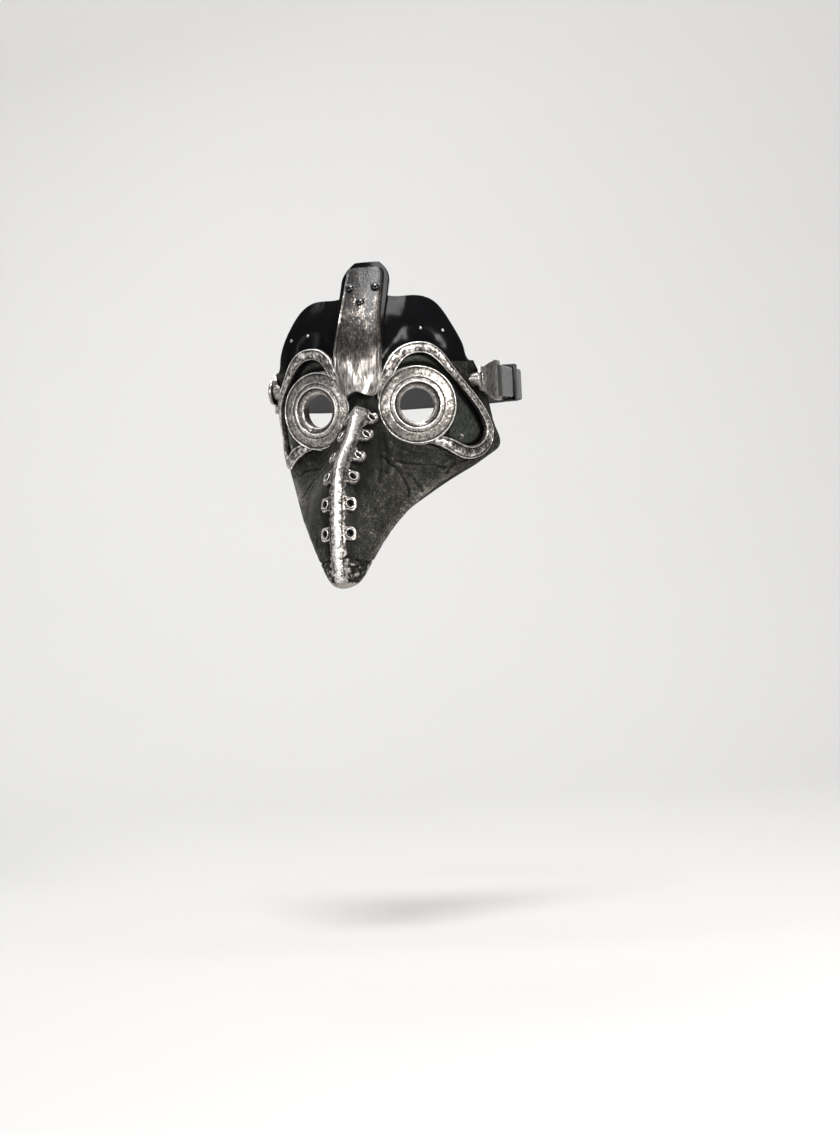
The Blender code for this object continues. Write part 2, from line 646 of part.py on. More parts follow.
def strap_slide():
    """A block with a slot for each layer of the strap."""
    half_x = LAYER_X + BAND_T / 2 + GAP + SLIDE_WALL
    half_z = BAND_W / 2 + GAP + 2.0
    loops = []
    for y, shrink in ((-0.5, 0.7), (-0.38, 0.0), (0.38, 0.0), (0.5, 0.7)):
        corners = rectangle(-half_x + shrink, -half_z + shrink, half_x - shrink, half_z - shrink)
        loops.append([(STRAP_X + a, SLIDE_Y + y * SLIDE_LENGTH, PIVOT.z + b) for a, b in corners])
    slide = ring_stack("strap_slide", loops)
    slot_half_x, slot_half_z = BAND_T / 2 + GAP, BAND_W / 2 + GAP
    for name, x in (("inner", STRAP_X - LAYER_X), ("outer", STRAP_X + LAYER_X)):
        slot = rectangle(x - slot_half_x, PIVOT.z - slot_half_z, x + slot_half_x, PIVOT.z + slot_half_z)
        cut(slide, prism(f"cut_slide_{name}", slot, (0, SLIDE_Y, 0), (1, 0, 0), UP, 8))


def main():
    for obj in list(bpy.data.objects):
        bpy.data.objects.remove(obj)
    tree = skin_tree()
    for side_name in SIDES:
        shell_panels(side_name)
        brow_studs(side_name, tree)
        goggles(side_name, tree)
        lace_tabs(side_name)
        temple_fittings(side_name, tree)
    forehead()
    spine()
    tip_cap()
    head_strap()
    strap_slide()


main()
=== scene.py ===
"""The looks of the plague doctor mask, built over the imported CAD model.

Lengths are in millimetres until a mesh is made.
"""

import math

import bmesh
import bpy
import numpy as np
from mathutils import Matrix, Vector, noise
from mathutils.bvhtree import BVHTree
from mathutils.kdtree import KDTree


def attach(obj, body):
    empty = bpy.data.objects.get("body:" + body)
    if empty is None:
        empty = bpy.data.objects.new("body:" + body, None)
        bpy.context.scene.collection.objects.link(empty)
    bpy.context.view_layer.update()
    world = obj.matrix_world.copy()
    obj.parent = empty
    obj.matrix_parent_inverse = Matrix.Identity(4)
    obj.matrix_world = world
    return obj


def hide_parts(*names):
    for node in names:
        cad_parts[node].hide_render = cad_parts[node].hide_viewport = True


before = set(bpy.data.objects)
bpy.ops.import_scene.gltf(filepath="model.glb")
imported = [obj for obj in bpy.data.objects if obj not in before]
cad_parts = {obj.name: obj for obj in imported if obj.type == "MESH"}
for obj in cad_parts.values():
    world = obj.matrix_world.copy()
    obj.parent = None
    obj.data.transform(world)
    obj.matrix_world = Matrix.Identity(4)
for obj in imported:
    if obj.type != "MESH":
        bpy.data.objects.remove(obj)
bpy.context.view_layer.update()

MM = 0.001
SIDES = {"left": 1, "right": -1}

# ---- The mask's skin, as in part.py: stations from the crown to the tip, guides from the midline to the rim.
STATIONS = {
    "crown": ((0, 21, 98), (14, 22, 98), (30, 27, 97), (45, 36, 95), (60, 52, 92)),
    "hairline": ((0, 7, 76), (14, 8, 76), (30, 12, 75), (45, 19, 74), (60, 31, 72)),
    "forehead": ((0, -9, 53), (14, -8, 52), (31, -2, 52), (46, 5, 52), (60, 16, 52)),
    "brow": ((0, -18, 30), (14, -16, 30), (32, -1, 30), (51, 5, 30), (66, 20, 29)),
    "lid": ((0, -21, 15), (10, -14, 15), (33, 1, 15), (56, 10, 15), (69, 35, 14)),
    "eye": ((0, -25, 2), (8, -13, 0), (33, 2, 0), (57, 12, 0), (70, 47, -1)),
    "cheek": ((0, -39, -15), (9, -26, -15), (32, 1, -17), (56, 13, -16), (71, 57, -15)),
    "corner": ((0, -57, -28), (11, -44, -30), (31, -8, -33), (52, 10, -33), (72, 58, -28)),
    "root": ((0, -74, -38), (12, -60, -42), (27, -32, -46), (42, -10, -46), (60, 22, -40)),
    "upper": ((0, -84, -51), (12, -74, -55), (24, -56, -58), (33, -38, -59), (44, -22, -56)),
    "middle": ((0, -88.5, -69), (10, -82, -71), (18, -74, -73), (25, -65, -75), (31, -53, -74)),
    "lower": ((0, -90.5, -89), (8, -86, -90), (13, -80.5, -92), (17, -77, -93), (20, -68, -93)),
    "hook": ((0, -88, -106), (5.5, -86, -106), (9, -82.5, -106.5), (11.5, -78, -107), (13, -74, -106.5)),
    "tip": (
        (0, -83.5, -112.5), (3.8, -82.5, -113), (6.5, -80.5, -113), (8.2, -77.5, -112.5), (9, -75, -111.5)
    ),
}
NET = np.array(list(STATIONS.values()), float)
LAST = len(NET) - 1
RIM = 4.0
SHELL_T = 3.0
MIDLINE_X = 0.03
TIP_STATION = 11.35
CROWN_OUTLINE = (
    (5, 80), (16, 72), (30, 71.5), (40, 69.5), (47, 63.5), (53, 54.5), (58, 45), (61, 37), (62, 31),
    (64, 27.6)
)
TEMPLE_CUT_Z = 27.0

EYE = Vector((32.8, 0.0, 0.0))
EYE_LEAN = math.radians(18)
BEZEL_R = 25.3
GOGGLE_LEAN = math.radians(30)
FRAME_LINE = (
    (-23, 2, 7), (-22, 15, 9), (-17, 27, 8.5), (
        -7.5, 35, 7.5
    ), (4.5, 37, 7), (14.5, 31.5, 6), (24, 19, 4.6),
    (33.5, 8, 4.4), (43.5, -2, 4.8), (51, -12, 5.5), (52.3, -20, 6.5), (
        47.5, -27.2, 7.5
    ), (38.5, -31.3, 8.5),
    (28.5, -30.8, 9), (20, -27, 9), (12.5, -24, 7), (5, -23, 5),
)
FRAME_H = 3.2
PAD_SINK = 1.6
PAD_T = 2.2
PAD_STUD = (30.5, -21.0)

REST = 0.8
FOOT = -0.4  # how far trim is bedded into the leather it lies on
PLATE_BOTTOM, PLATE_TOP, PLATE_T = 8.0, 88.5, 2.6
TONGUE_BOTTOM, BACKING_BOTTOM, BACKING_TOP, BACKING_T = 10.0, 33.0, 94.0, 2.4
PLATE_LIFT = REST + BACKING_T + 0.35
PLATE_RIVETS = ((-8.0, 74.5), (8.0, 74.5), (0.0, 64.5))
RIVET_R = 2.8
BROW_STUDS = ((37.5, 49.0), (50.5, 47.0))

SPINE_HALF_W = 3.2
SPINE_H = 3.4
SPINE_TOP_STATION = 5.2
SPINE_END_STATION = 12.45
TAB_HEIGHTS = (-8.5, -20.5, -32.5, -44.8, -61.5, -80.5)
TAB_REACH = 10.2
TAB_WIDTHS = (11.8, 11.8, 11.2, 10.0, 9.8, 9.6)
TAB_H = 2.0
EYELET_X = 6.4
EYELET_BARREL_R = 2.0

PIVOT = Vector((70.4, 24.5, 15.5))
STRAP_X = 75.0
HANGER_T = 1.6
HANGER_LINE = ((16.5, 70.4), (32.0, 70.4), (45.0, 75.0), (59.0, 75.0))
HANGER_BAR_Y = (54.6, 58.6)
HANGER_SLOT_Y = 49.5
HANGER_HALF_H = 13.0
BAND_W = 20.0
BAND_T = 1.4
LAYER_X = HANGER_T / 2 + 0.35 + BAND_T / 2
FOLD_Y = 55.0
FOLD_END_Y = {"left": 112.0, "right": 76.0}
STRAIGHT_END_Y = 112.0
LOOP_DEPTH = 46.0
SLIDE_Y = 90.0

# ---- Creases pressed into the left cheek, as (x, z) on the skin with their width and depth.
CREASES = (
    (((17, -33), (20.9, -36.6), (27.1, -43), (32.2, -46), (37.2, -52), (40, -56)), 0.6, 0.75),
    (((20.9, -36.6), (28, -45.4), (31.2, -50.7), (33.3, -55), (34, -60)), 0.55, 0.7),
    (((21.5, -36), (31.4, -38), (37.8, -38.3), (43.7, -39), (49, -41.5)), 0.7, 0.7),
    (((58, -36.8), (52.5, -38.7), (50.5, -42.1), (49.5, -45)), 0.6, 0.5),
    (((40, -25.8), (43.9, -27.4), (48.6, -32), (53.6, -36.6)), 0.55, 0.5),
    (((42, -24.6), (46.5, -27.4), (51, -32)), 0.5, 0.4),
    (((14.5, -18), (17.6, -26), (20.3, -36.1), (21.5, -44)), 0.9, 0.7),
    (((11.5, -14), (14.5, -25), (18.5, -40), (20, -50)), 0.8, 0.5),
    (((24, -27.5), (30, -30.5), (37, -31.5)), 0.7, 0.3),
)


def solver(count):
    matrix = 4 * np.eye(count) + np.eye(count, k=1) + np.eye(count, k=-1)
    matrix[0, 0] = matrix[-1, -1] = 2
    return np.linalg.inv(matrix)


def hermite_slopes(values, axis=0):
    """Slopes of the natural cubic splines through values along an axis."""
    v = np.moveaxis(np.asarray(values, float), axis, 0)
    right = np.empty_like(v)
    right[0] = 3 * (v[1] - v[0])
    right[-1] = 3 * (v[-1] - v[-2])
    right[1:-1] = 3 * (v[2:] - v[:-2])
    return np.moveaxis(np.tensordot(solver(len(v)), right, axes=1), 0, axis)


def hermite(start, end, slope_start, slope_end, u):
    return (
        start * (1 + 2 * u) * (1 - u) ** 2 + end * u * u * (3 - 2 * u)
        + slope_start * u * (1 - u) ** 2 + slope_end * u * u * (u - 1)
    )


def spline(values, at):
    """The natural cubic spline through values, read at the parameters in at."""
    values = np.asarray(values, float)
    slopes = hermite_slopes(values)
    at = np.clip(np.asarray(at, float), 0, len(values) - 1)
    i = np.minimum(at.astype(int), len(values) - 2)
    u = (at - i).reshape((-1,) + (1,) * (values.ndim - 1))
    return hermite(values[i], values[i + 1], slopes[i], slopes[i + 1], u)


NET_SLOPES = hermite_slopes(NET)


def surface(stations, guides):
    """Points of the skin, one for each station and guide."""
    s = np.clip(stations, 0, LAST)
    i = np.minimum(s.astype(int), LAST - 1)
    u = (s - i)[:, None, None]
    rows = hermite(NET[i], NET[i + 1], NET_SLOPES[i], NET_SLOPES[i + 1], u)
    slopes = hermite_slopes(rows, 1)
    g = np.clip(guides, 0, RIM)
    j = np.minimum(g.astype(int), int(RIM) - 1)
    n = np.arange(len(g))
    return hermite(rows[n, j], rows[n, j + 1], slopes[n, j], slopes[n, j + 1], (g - j)[:, None])


def skin_normals(stations, guides):
    step = 0.01
    s = np.clip(stations, step, LAST - step)
    g = np.clip(guides, step, RIM - step)
    across = surface(s, g + step) - surface(s, g - step)
    along = surface(s + step, g) - surface(s - step, g)
    normal = -np.cross(across, along)
    normal /= np.linalg.norm(normal, axis=1)[:, None]
    normal[:, 0] *= np.minimum(1.0, guides / 0.6)
    return normal / np.linalg.norm(normal, axis=1)[:, None]


def skin(stations, guides, heights=0.0):
    """Points at heights over the skin. The arguments are broadcast together."""
    s, g, h = np.broadcast_arrays(
        np.asarray(stations, float), np.asarray(guides, float), np.asarray(heights, float)
    )
    shape = s.shape
    s, g, h = s.ravel(), g.ravel(), h.ravel()
    return (surface(s, g) + h[:, None] * skin_normals(s, g)).reshape(shape + (3,))


HEIGHT_TABLE = np.linspace(0, LAST, 800)
MIDLINE_Z = spline(NET[:, 0], HEIGHT_TABLE)[:, 2]


def station_at(z):
    """The station whose midline point has this height."""
    return np.interp(-np.asarray(z, float), -MIDLINE_Z, HEIGHT_TABLE)


STRIP_STATIONS = np.linspace(0, LAST, 500)
STRIP_GUIDES = np.linspace(0, 2, 80)
STRIP_X = skin(STRIP_STATIONS[:, None], STRIP_GUIDES[None, :])[..., 0]


def strip(stations, xs, heights):
    """Points over the skin at signed distances xs from the midline. The arguments are broadcast together."""
    s, x, h = np.broadcast_arrays(
        np.asarray(stations, float), np.asarray(xs, float), np.asarray(heights, float)
    )
    shape = s.shape
    s, x, h = s.ravel(), x.ravel(), h.ravel()
    at = np.clip(s / LAST, 0, 1) * (len(STRIP_STATIONS) - 1)
    i = np.minimum(at.astype(int), len(STRIP_STATIONS) - 2)
    u = (at - i)[:, None]
    rows = STRIP_X[i] * (1 - u) + STRIP_X[i + 1] * u
    j = np.clip((rows < np.abs(x)[:, None]).sum(1) - 1, 0, len(STRIP_GUIDES) - 2)
    n = np.arange(len(s))
    part = (np.abs(x) - rows[n, j]) / (rows[n, j + 1] - rows[n, j])
    points = skin(s, (j + part) * STRIP_GUIDES[1], h)
    points[:, 0] *= np.where(np.abs(x) < 1e-6, 0, np.sign(x))
    return points.reshape(shape + (3,))


def smooth(low, high, value):
    """0 below low, 1 above high, and a smooth step between."""
    t = np.clip((np.asarray(value, float) - low) / (high - low), 0, 1)
    return t * t * (3 - 2 * t)


def rough(points, size, seed=0.0, octaves=3):
    """Fractal noise about 0 at points in millimetres, with features of that size."""
    flat = np.asarray(points, float).reshape(-1, 3) / size + seed
    values = [noise.fractal(Vector(p), 0.8, 2.1, octaves) for p in flat]
    return np.array(values).reshape(np.shape(points)[:-1])


def distance_to_line(points, line):
    """Distance from each 2-D point to a polyline."""
    best = np.full(points.shape[:-1], 1e9)
    for a, b in zip(line[:-1], line[1:]):
        a, b = np.array(a, float), np.array(b, float)
        run = b - a
        t = np.clip(((points - a) @ run) / (run @ run), 0, 1)
        best = np.minimum(best, np.linalg.norm(points - a - t[..., None] * run, axis=-1))
    return best


# ---- Meshes


def grid_faces(rows, cols, wrap_cols=False, wrap_rows=False):
    i = np.arange(rows if wrap_rows else rows - 1)[:, None]
    j = np.arange(cols if wrap_cols else cols - 1)[None, :]
    a = i * cols + j
    b = i * cols + (j + 1) % cols
    c = (i + 1) % rows * cols + (j + 1) % cols
    d = (i + 1) % rows * cols + j
    return np.stack([a, b, c, d], -1).reshape(-1, 4).tolist()


def new_object(name, points, faces, side=1, wear_and_painted_light=None, flow=None):
    """An object from points in millimetres. wear and flow are read by the materials."""
    points = np.asarray(points, float).reshape(-1, 3) * (side * MM, MM, MM)
    mesh = bpy.data.meshes.new(name)
    mesh.from_pydata(points.tolist(), [], faces)
    if wear_and_painted_light is not None:
        attribute = mesh.attributes.new("wear_and_painted_light", "FLOAT", "POINT")
        attribute.data.foreach_set("value", np.asarray(wear_and_painted_light, np.float32).ravel())
    if flow is not None:
        attribute = mesh.attributes.new("flow", "FLOAT_VECTOR", "POINT")
        attribute.data.foreach_set("vector", np.asarray(flow, np.float32).ravel())
    bm = bmesh.new()
    bm.from_mesh(mesh)
    bmesh.ops.recalc_face_normals(bm, faces=bm.faces)
    bm.to_mesh(mesh)
    bm.free()
    obj = bpy.data.objects.new(name, mesh)
    bpy.context.scene.collection.objects.link(obj)
    return obj


def apply_modifiers(obj):
    bpy.context.view_layer.update()
    depsgraph = bpy.context.evaluated_depsgraph_get()
    mesh = bpy.data.meshes.new_from_object(obj.evaluated_get(depsgraph))
    obj.modifiers.clear()
    old = obj.data
    obj.data = mesh
    bpy.data.meshes.remove(old)
    mesh.name = obj.name


def boolean(obj, cutters):
    """Cuts obj by (cutter, operation) pairs and removes the cutters."""
    for cutter, operation in cutters:
        modifier = obj.modifiers.new("cut", "BOOLEAN")
        modifier.operation = operation
        modifier.solver = "MANIFOLD"
        modifier.object = cutter
    apply_modifiers(obj)
    for cutter, _ in cutters:
        if cutter.users_collection:
            bpy.data.objects.remove(cutter)


def bevel(obj, width, segments=3, angle=40):
    modifier = obj.modifiers.new("bevel", "BEVEL")
    modifier.width = width * MM
    modifier.segments = segments
    modifier.limit_method = "ANGLE"
    modifier.angle_limit = math.radians(angle)
    modifier.harden_normals = False
    apply_modifiers(obj)


def finish_piece(obj, material, body, nodes, sharp=38):
    """Material, shading, body and the CAD nodes the piece stands for."""
    obj.data.materials.clear()
    obj.data.materials.append(material)
    obj.data.polygons.foreach_set("use_smooth", [True] * len(obj.data.polygons))
    obj.data.set_sharp_from_angle(angle=math.radians(sharp))
    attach(obj, body)
    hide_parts(*nodes)
    return obj


def turned(name, profile, centre, axis, segments=64, side=1, wobble=0.0, wear_and_painted_light=None, closed=True):
    """A ring, or a capped solid, turned from (radius, along the axis) points."""
    axis = Vector(axis).normalized()
    across = axis.orthogonal().normalized()
    other = axis.cross(across)
    angles = np.linspace(0, 2 * math.pi, segments, endpoint=False)
    out = np.cos(angles)[:, None] * np.array(across) + np.sin(angles)[:, None] * np.array(other)
    profile = np.asarray(profile, float)
    points = np.array(centre) + out[:, None] * profile[None, :, :1] + np.array(axis) * profile[None, :, 1:2]
    if wobble:
        points = points + np.array(axis) * (wobble * rough(points, 5.0, 7.1))[..., None]
    faces = grid_faces(segments, len(profile), wrap_cols=closed, wrap_rows=True)
    if not closed:
        count = len(profile)
        faces.append([k * count for k in range(segments)])
        faces.append([k * count + count - 1 for k in reversed(range(segments))])
    if wear_and_painted_light is None:
        wear_and_painted_light = np.full(len(profile), 0.5)
    wear_and_painted_light = np.broadcast_to(np.asarray(wear_and_painted_light, float), (segments, len(profile)))
    if wobble:
        wear_and_painted_light = np.clip(wear_and_painted_light + 0.12 * rough(points, 3.0, 2.3), 0, 1)
    return new_object(name, points, faces, side, wear_and_painted_light)


def prism(outline, origin, across, up, depth, side=1):
    """A cutter: an outline of (across, up) points pushed both ways along the direction square to it."""
    along = Vector(across).cross(Vector(up)).normalized()
    loops = []
    for level in (-depth, depth):
        loops += [Vector(origin) + a * Vector(across) + b * Vector(up) + level * along for a, b in outline]
    count = len(outline)
    faces = grid_faces(2, count, wrap_cols=True) + [
        list(range(count)), list(range(2 * count - 1, count - 1, -1))
    ]
    return new_object("cutter", [tuple(p) for p in loops], faces, side)


def cylinder(radius, depth, centre, axis, side=1, segments=96):
    return turned("cutter", ((radius, -depth), (radius, depth)), centre, axis, segments, side, closed=False)


def rectangle(left, bottom, right, top):
    return ((left, bottom), (right, bottom), (right, top), (left, top))


UP = Vector((0, 0, 1))
EYE_OUT = Vector((math.cos(EYE_LEAN), math.sin(EYE_LEAN), 0))
EYE_AXIS = Vector((math.sin(EYE_LEAN), -math.cos(EYE_LEAN), 0))
GOGGLE_OUT = Vector((math.cos(GOGGLE_LEAN), math.sin(GOGGLE_LEAN), 0))
GOGGLE_AXIS = Vector((math.sin(GOGGLE_LEAN), -math.cos(GOGGLE_LEAN), 0))


def skin_tree():
    stations = np.linspace(0, LAST, 200)[:, None]
    guides = np.linspace(0, RIM, 90)[None, :]
    points = skin(stations, guides).reshape(-1, 3)
    return BVHTree.FromPolygons(points.tolist(), grid_faces(200, 90))


TREE = skin_tree()


def on_skin(start, direction, height):
    hit, normal, _, _ = TREE.ray_cast(start, direction)
    if hit is None:
        raise ValueError(f"no skin in front of {tuple(start)}")
    if normal.dot(direction) > 0:
        normal = -normal
    return hit + float(height) * normal


def goggle_point(across, up, height):
    return on_skin(EYE + across * GOGGLE_OUT + up * UP + 80 * GOGGLE_AXIS, -GOGGLE_AXIS, height)


def goggle_outline(count=90):
    rows = spline(FRAME_LINE, np.linspace(0.3, len(FRAME_LINE) - 1, count))
    return [(float(a), float(b)) for a, b, _ in rows] + [(6.0, -6.0), (-6.0, -2.0)]


# ---- Materials


class Shader:
    """A few lines' help with shader nodes. Inputs that are nodes' outputs are linked, others are set."""

    def __init__(self, name):
        self.material = bpy.data.materials.new(name)
        self.material.use_nodes = True
        self.tree = self.material.node_tree
        self.surface = self.tree.nodes["Principled BSDF"]
        self.place = self.add("ShaderNodeTexCoord").outputs["Object"]

    def add(self, kind, inputs=(), **settings):
        node = self.tree.nodes.new(kind)
        for key, value in settings.items():
            setattr(node, key, value)
        for key, value in dict(inputs).items():
            self.put(node.inputs[key], value)
        return node

    def put(self, socket, value):
        if isinstance(value, bpy.types.NodeSocket):
            self.tree.links.new(value, socket)
        else:
            socket.default_value = value

    def attribute(self, name, output="Fac"):
        return self.add("ShaderNodeAttribute", attribute_name=name).outputs[output]

    def stretched(self, vector, scale):
        return self.add("ShaderNodeMapping", {"Vector": vector, "Scale": scale}).outputs[0]

    def noise(self, size, detail=4.0, roughness=0.55, vector=None, distortion=0.0):
        """Noise with features of that size in millimetres."""
        inputs = {
            "Vector": vector or self.place, "Scale": 1000.0 / size, "Detail": detail,
            "Roughness": roughness, "Distortion": distortion,
        }
        return self.add("ShaderNodeTexNoise", inputs).outputs["Fac"]

    def cells(self, size, vector=None, feature="F1"):
        inputs = {"Vector": vector or self.place, "Scale": 1000.0 / size}
        return self.add("ShaderNodeTexVoronoi", inputs, feature=feature).outputs["Distance"]

    def math(self, operation, a, b=0.0, clamp=False):
        return self.add("ShaderNodeMath", {0: a, 1: b}, operation=operation, use_clamp=clamp).outputs[0]

    def between(self, value, low, high):
        """0 at low and 1 at high."""
        inputs = {"Value": value, "From Min": low, "From Max": high}
        return self.add("ShaderNodeMapRange", inputs, interpolation_type="SMOOTHSTEP").outputs[0]

    def span(self, value, low, high):
        """low where value is 0 and high where it is 1."""
        return self.add("ShaderNodeMapRange", {"Value": value, "To Min": low, "To Max": high}).outputs[0]

    def mix(self, factor, a, b):
        inputs = {0: factor, 6: a, 7: b}
        return self.add("ShaderNodeMix", inputs, data_type="RGBA").outputs[2]

    def ramp(self, value, stops):
        node = self.add("ShaderNodeValToRGB", {"Fac": value})
        elements = node.color_ramp.elements
        while len(elements) < len(stops):
            elements.new(0.5)
        for element, (position, colour) in zip(elements, stops):
            element.position = position
            element.color = (*colour, 1.0)
        return node.outputs["Color"]

    def bump(self, height, distance, strength=1.0, under=None):
        inputs = {"Height": height, "Distance": distance * MM, "Strength": strength}
        if under is not None:
            inputs["Normal"] = under
        return self.add("ShaderNodeBump", inputs).outputs[0]

    def set(self, **values):
        for key, value in values.items():
            self.put(self.surface.inputs[key.replace("_", " ")], value)
        return self.material


def silver(name, dark=0.0, pits=0.5, crumple=0.5, mottle=0.8, brushed=False):
    """Worn silver paint: mottled grey-brown, white where rubbed, black in pits. The per-point value it reads
    also paints shade, black, into grooves, and paints highlights where a piece puts them.
    """
    s = Shader(name)
    wear_and_painted_light = s.attribute("wear_and_painted_light")
    place = s.place
    if brushed:
        place = s.stretched(s.place, (1.0, 1.0, 0.16))
    broad = s.noise(6.0, 5.0, 0.62, place)
    fine = s.noise(1.3, 6.0, 0.72, place)
    tone = s.math("ADD", s.math("MULTIPLY", broad, mottle), s.math("MULTIPLY", fine, 1.7 - mottle))
    # The per-point value shifts the tone: rubbed paint, painted highlights, and painted shade in grooves.
    tone = s.math("ADD", tone, s.math("MULTIPLY", s.math("SUBTRACT", wear_and_painted_light, 0.5), 0.9))
    tone = s.math("SUBTRACT", tone, 0.38 + dark)
    colour = s.ramp(
        tone,
        (
            (0.10, (0.006, 0.005, 0.005)), (0.28, (0.055, 0.048, 0.043)), (0.46, (0.23, 0.205, 0.185)),
            (0.66, (0.50, 0.465, 0.44)), (0.90, (0.90, 0.88, 0.86)),
        ),
    )
    pit = s.between(s.cells(1.7), 0.24, 0.06)
    pit = s.math("MULTIPLY", pit, s.between(s.noise(3.5), 0.42, 0.56))
    hole = s.math("MULTIPLY", pit, pits, clamp=True)
    colour = s.mix(hole, colour, (0.008, 0.007, 0.006, 1.0))
    height = s.math("SUBTRACT", s.math("MULTIPLY", fine, 0.7), s.math("MULTIPLY", hole, 0.8))
    normal = s.bump(s.noise(3.2, 3.0, 0.55, place, 0.6), 0.9 * crumple, 0.9)
    normal = s.bump(height, 0.30, 0.9, normal)
    normal = s.bump(s.noise(0.5, 3.0, 0.6), 0.05, 0.6, normal)
    gloss = s.span(s.math("ADD", s.math("MULTIPLY", fine, 0.6), s.math("MULTIPLY", broad, 0.4)), 0.46, 0.14)
    metal = s.span(s.between(tone, 0.1, 0.45), 0.2, 0.94)
    return s.set(Base_Color=colour, Metallic=metal, Roughness=gloss, Normal=normal)


def brushed_leather(name):
    """Black leather with a thin silver-green bloom brushed along the beak. The per-point value says how much
    sits on it; it also holds painted shade in the creases and painted highlight beside them.
    """
    s = Shader(name)
    wear_and_painted_light = s.attribute("wear_and_painted_light")
    flow = s.attribute("flow", "Vector")
    streak = s.noise(1.0, 5.0, 0.65, s.stretched(flow, (0.9, 0.12, 1.0)))
    blotch = s.noise(6.0, 5.0, 0.66)
    speck = s.noise(1.5, 6.0, 0.85)
    amount = s.math("ADD", s.math("MULTIPLY", streak, 0.40), s.math("MULTIPLY", blotch, 0.45))
    amount = s.math("ADD", amount, s.math("MULTIPLY", speck, 1.1))
    amount = s.math("ADD", amount, s.math("MULTIPLY", s.math("SUBTRACT", wear_and_painted_light, 0.5), 0.9))
    amount = s.math("SUBTRACT", amount, 0.20)
    colour = s.ramp(
        amount,
        (
            (
                0.50, (0.0012, 0.0012, 0.0011)
            ), (0.66, (0.0070, 0.0072, 0.0060)), (0.80, (0.030, 0.029, 0.024)),
            (0.92, (0.11, 0.102, 0.086)), (1.00, (0.36, 0.34, 0.31)),
        ),
    )
    normal = s.bump(s.cells(1.2, feature="SMOOTH_F1"), 0.16, 0.6)
    normal = s.bump(speck, 0.30, 0.9, normal)
    normal = s.bump(streak, 0.18, 0.6, normal)
    gloss = s.span(speck, 0.66, 0.30)
    metal = s.span(s.between(amount, 0.76, 1.0), 0.0, 0.7)
    return s.set(Base_Color=colour, Metallic=metal, Roughness=gloss, Normal=normal, Specular_IOR_Level=0.16)


def patent(name):
    """Glossy black leather."""
    s = Shader(name)
    ripple = s.noise(14.0, 3.0, 0.5)
    fine = s.noise(0.9, 3.0, 0.6)
    dust = s.between(s.noise(0.35, 2.0, 0.5), 0.70, 0.78)
    colour = s.mix(s.math("MULTIPLY", dust, 0.35), (0.0035, 0.0035, 0.004, 1.0), (0.05, 0.05, 0.052, 1.0))
    normal = s.bump(ripple, 0.5, 0.35)
    normal = s.bump(fine, 0.03, 0.5, normal)
    gloss = s.span(s.noise(5.0), 0.10, 0.22)
    return s.set(Base_Color=colour, Roughness=gloss, Normal=normal, Specular_IOR_Level=0.05)


def pad_leather(name):
    """Soft dark green-grey leather with a mottled bloom, darkened by the per-point value it reads into a
    painted shadow along the goggle frame and eye ring.
    """
    s = Shader(name)
    wear_and_painted_light = s.attribute("wear_and_painted_light")
    bloom = s.noise(3.2, 5.0, 0.65)
    fine = s.noise(0.7, 4.0, 0.6)
    tone = s.math("ADD", s.math("MULTIPLY", bloom, 0.7), s.math("MULTIPLY", fine, 0.4))
    tone = s.math("ADD", tone, s.math("MULTIPLY", s.math("SUBTRACT", wear_and_painted_light, 0.5), 0.8))
    colour = s.ramp(
        tone,
        (
            (0.30, (0.0015, 0.0016, 0.0015)), (0.50, (0.009, 0.0105, 0.009)), (0.70, (0.036, 0.040, 0.034)),
            (0.90, (0.13, 0.13, 0.115)),
        ),
    )
    normal = s.bump(s.cells(0.9, feature="SMOOTH_F1"), 0.08, 0.6)
    normal = s.bump(fine, 0.10, 0.6, normal)
    return s.set(
        Base_Color=colour, Roughness=s.span(bloom, 0.66, 0.36), Normal=normal, Specular_IOR_Level=0.18
    )


def black_rivet(name):
    s = Shader(name)
    scuff = s.between(s.noise(0.8, 4.0, 0.6), 0.55, 0.75)
    colour = s.mix(scuff, (0.006, 0.006, 0.006, 1.0), (0.05, 0.048, 0.045, 1.0))
    return s.set(
        Base_Color=colour, Roughness=s.span(scuff, 0.12, 0.4), Normal=s.bump(s.noise(0.5), 0.02, 0.4),
        Specular_IOR_Level=0.6
    )


def aged_steel(name):
    s = Shader(name)
    turned_marks = s.noise(0.5, 3.0, 0.6)
    stain = s.between(s.noise(3.0, 4.0, 0.6), 0.42, 0.66)
    colour = s.mix(stain, (0.40, 0.38, 0.36, 1.0), (0.12, 0.105, 0.09, 1.0))
    return s.set(
        Base_Color=colour, Metallic=0.95, Roughness=s.span(stain, 0.28, 0.5),
        Normal=s.bump(turned_marks, 0.03, 0.5)
    )


def elastic(name):
    """Black elastic: ribs along its length crossed by fine picks. flow runs along and across the band."""
    s = Shader(name)
    flow = s.attribute("flow", "Vector")
    parts = s.add("ShaderNodeSeparateXYZ", {0: flow})
    along, across = parts.outputs[0], parts.outputs[1]
    ribs = s.math("SINE", s.math("MULTIPLY", across, 2 * math.pi / 1.1))
    picks = s.math(
        "SINE", s.math("ADD", s.math("MULTIPLY", along, 2 * math.pi / 0.8), s.math("MULTIPLY", ribs, 1.2))
    )
    weave = s.math("ADD", s.math("MULTIPLY", ribs, 0.6), s.math("MULTIPLY", picks, 0.4))
    fuzz = s.noise(0.4, 3.0, 0.7)
    light = s.between(weave, -0.8, 1.0)
    colour = s.mix(light, (0.006, 0.006, 0.006, 1.0), (0.035, 0.034, 0.035, 1.0))
    colour = s.mix(s.between(fuzz, 0.55, 0.8), colour, (0.055, 0.053, 0.052, 1.0))
    normal = s.bump(s.math("ADD", weave, fuzz), 0.14, 0.8)
    return s.set(Base_Color=colour, Roughness=0.82, Normal=normal, Sheen_Weight=0.3)


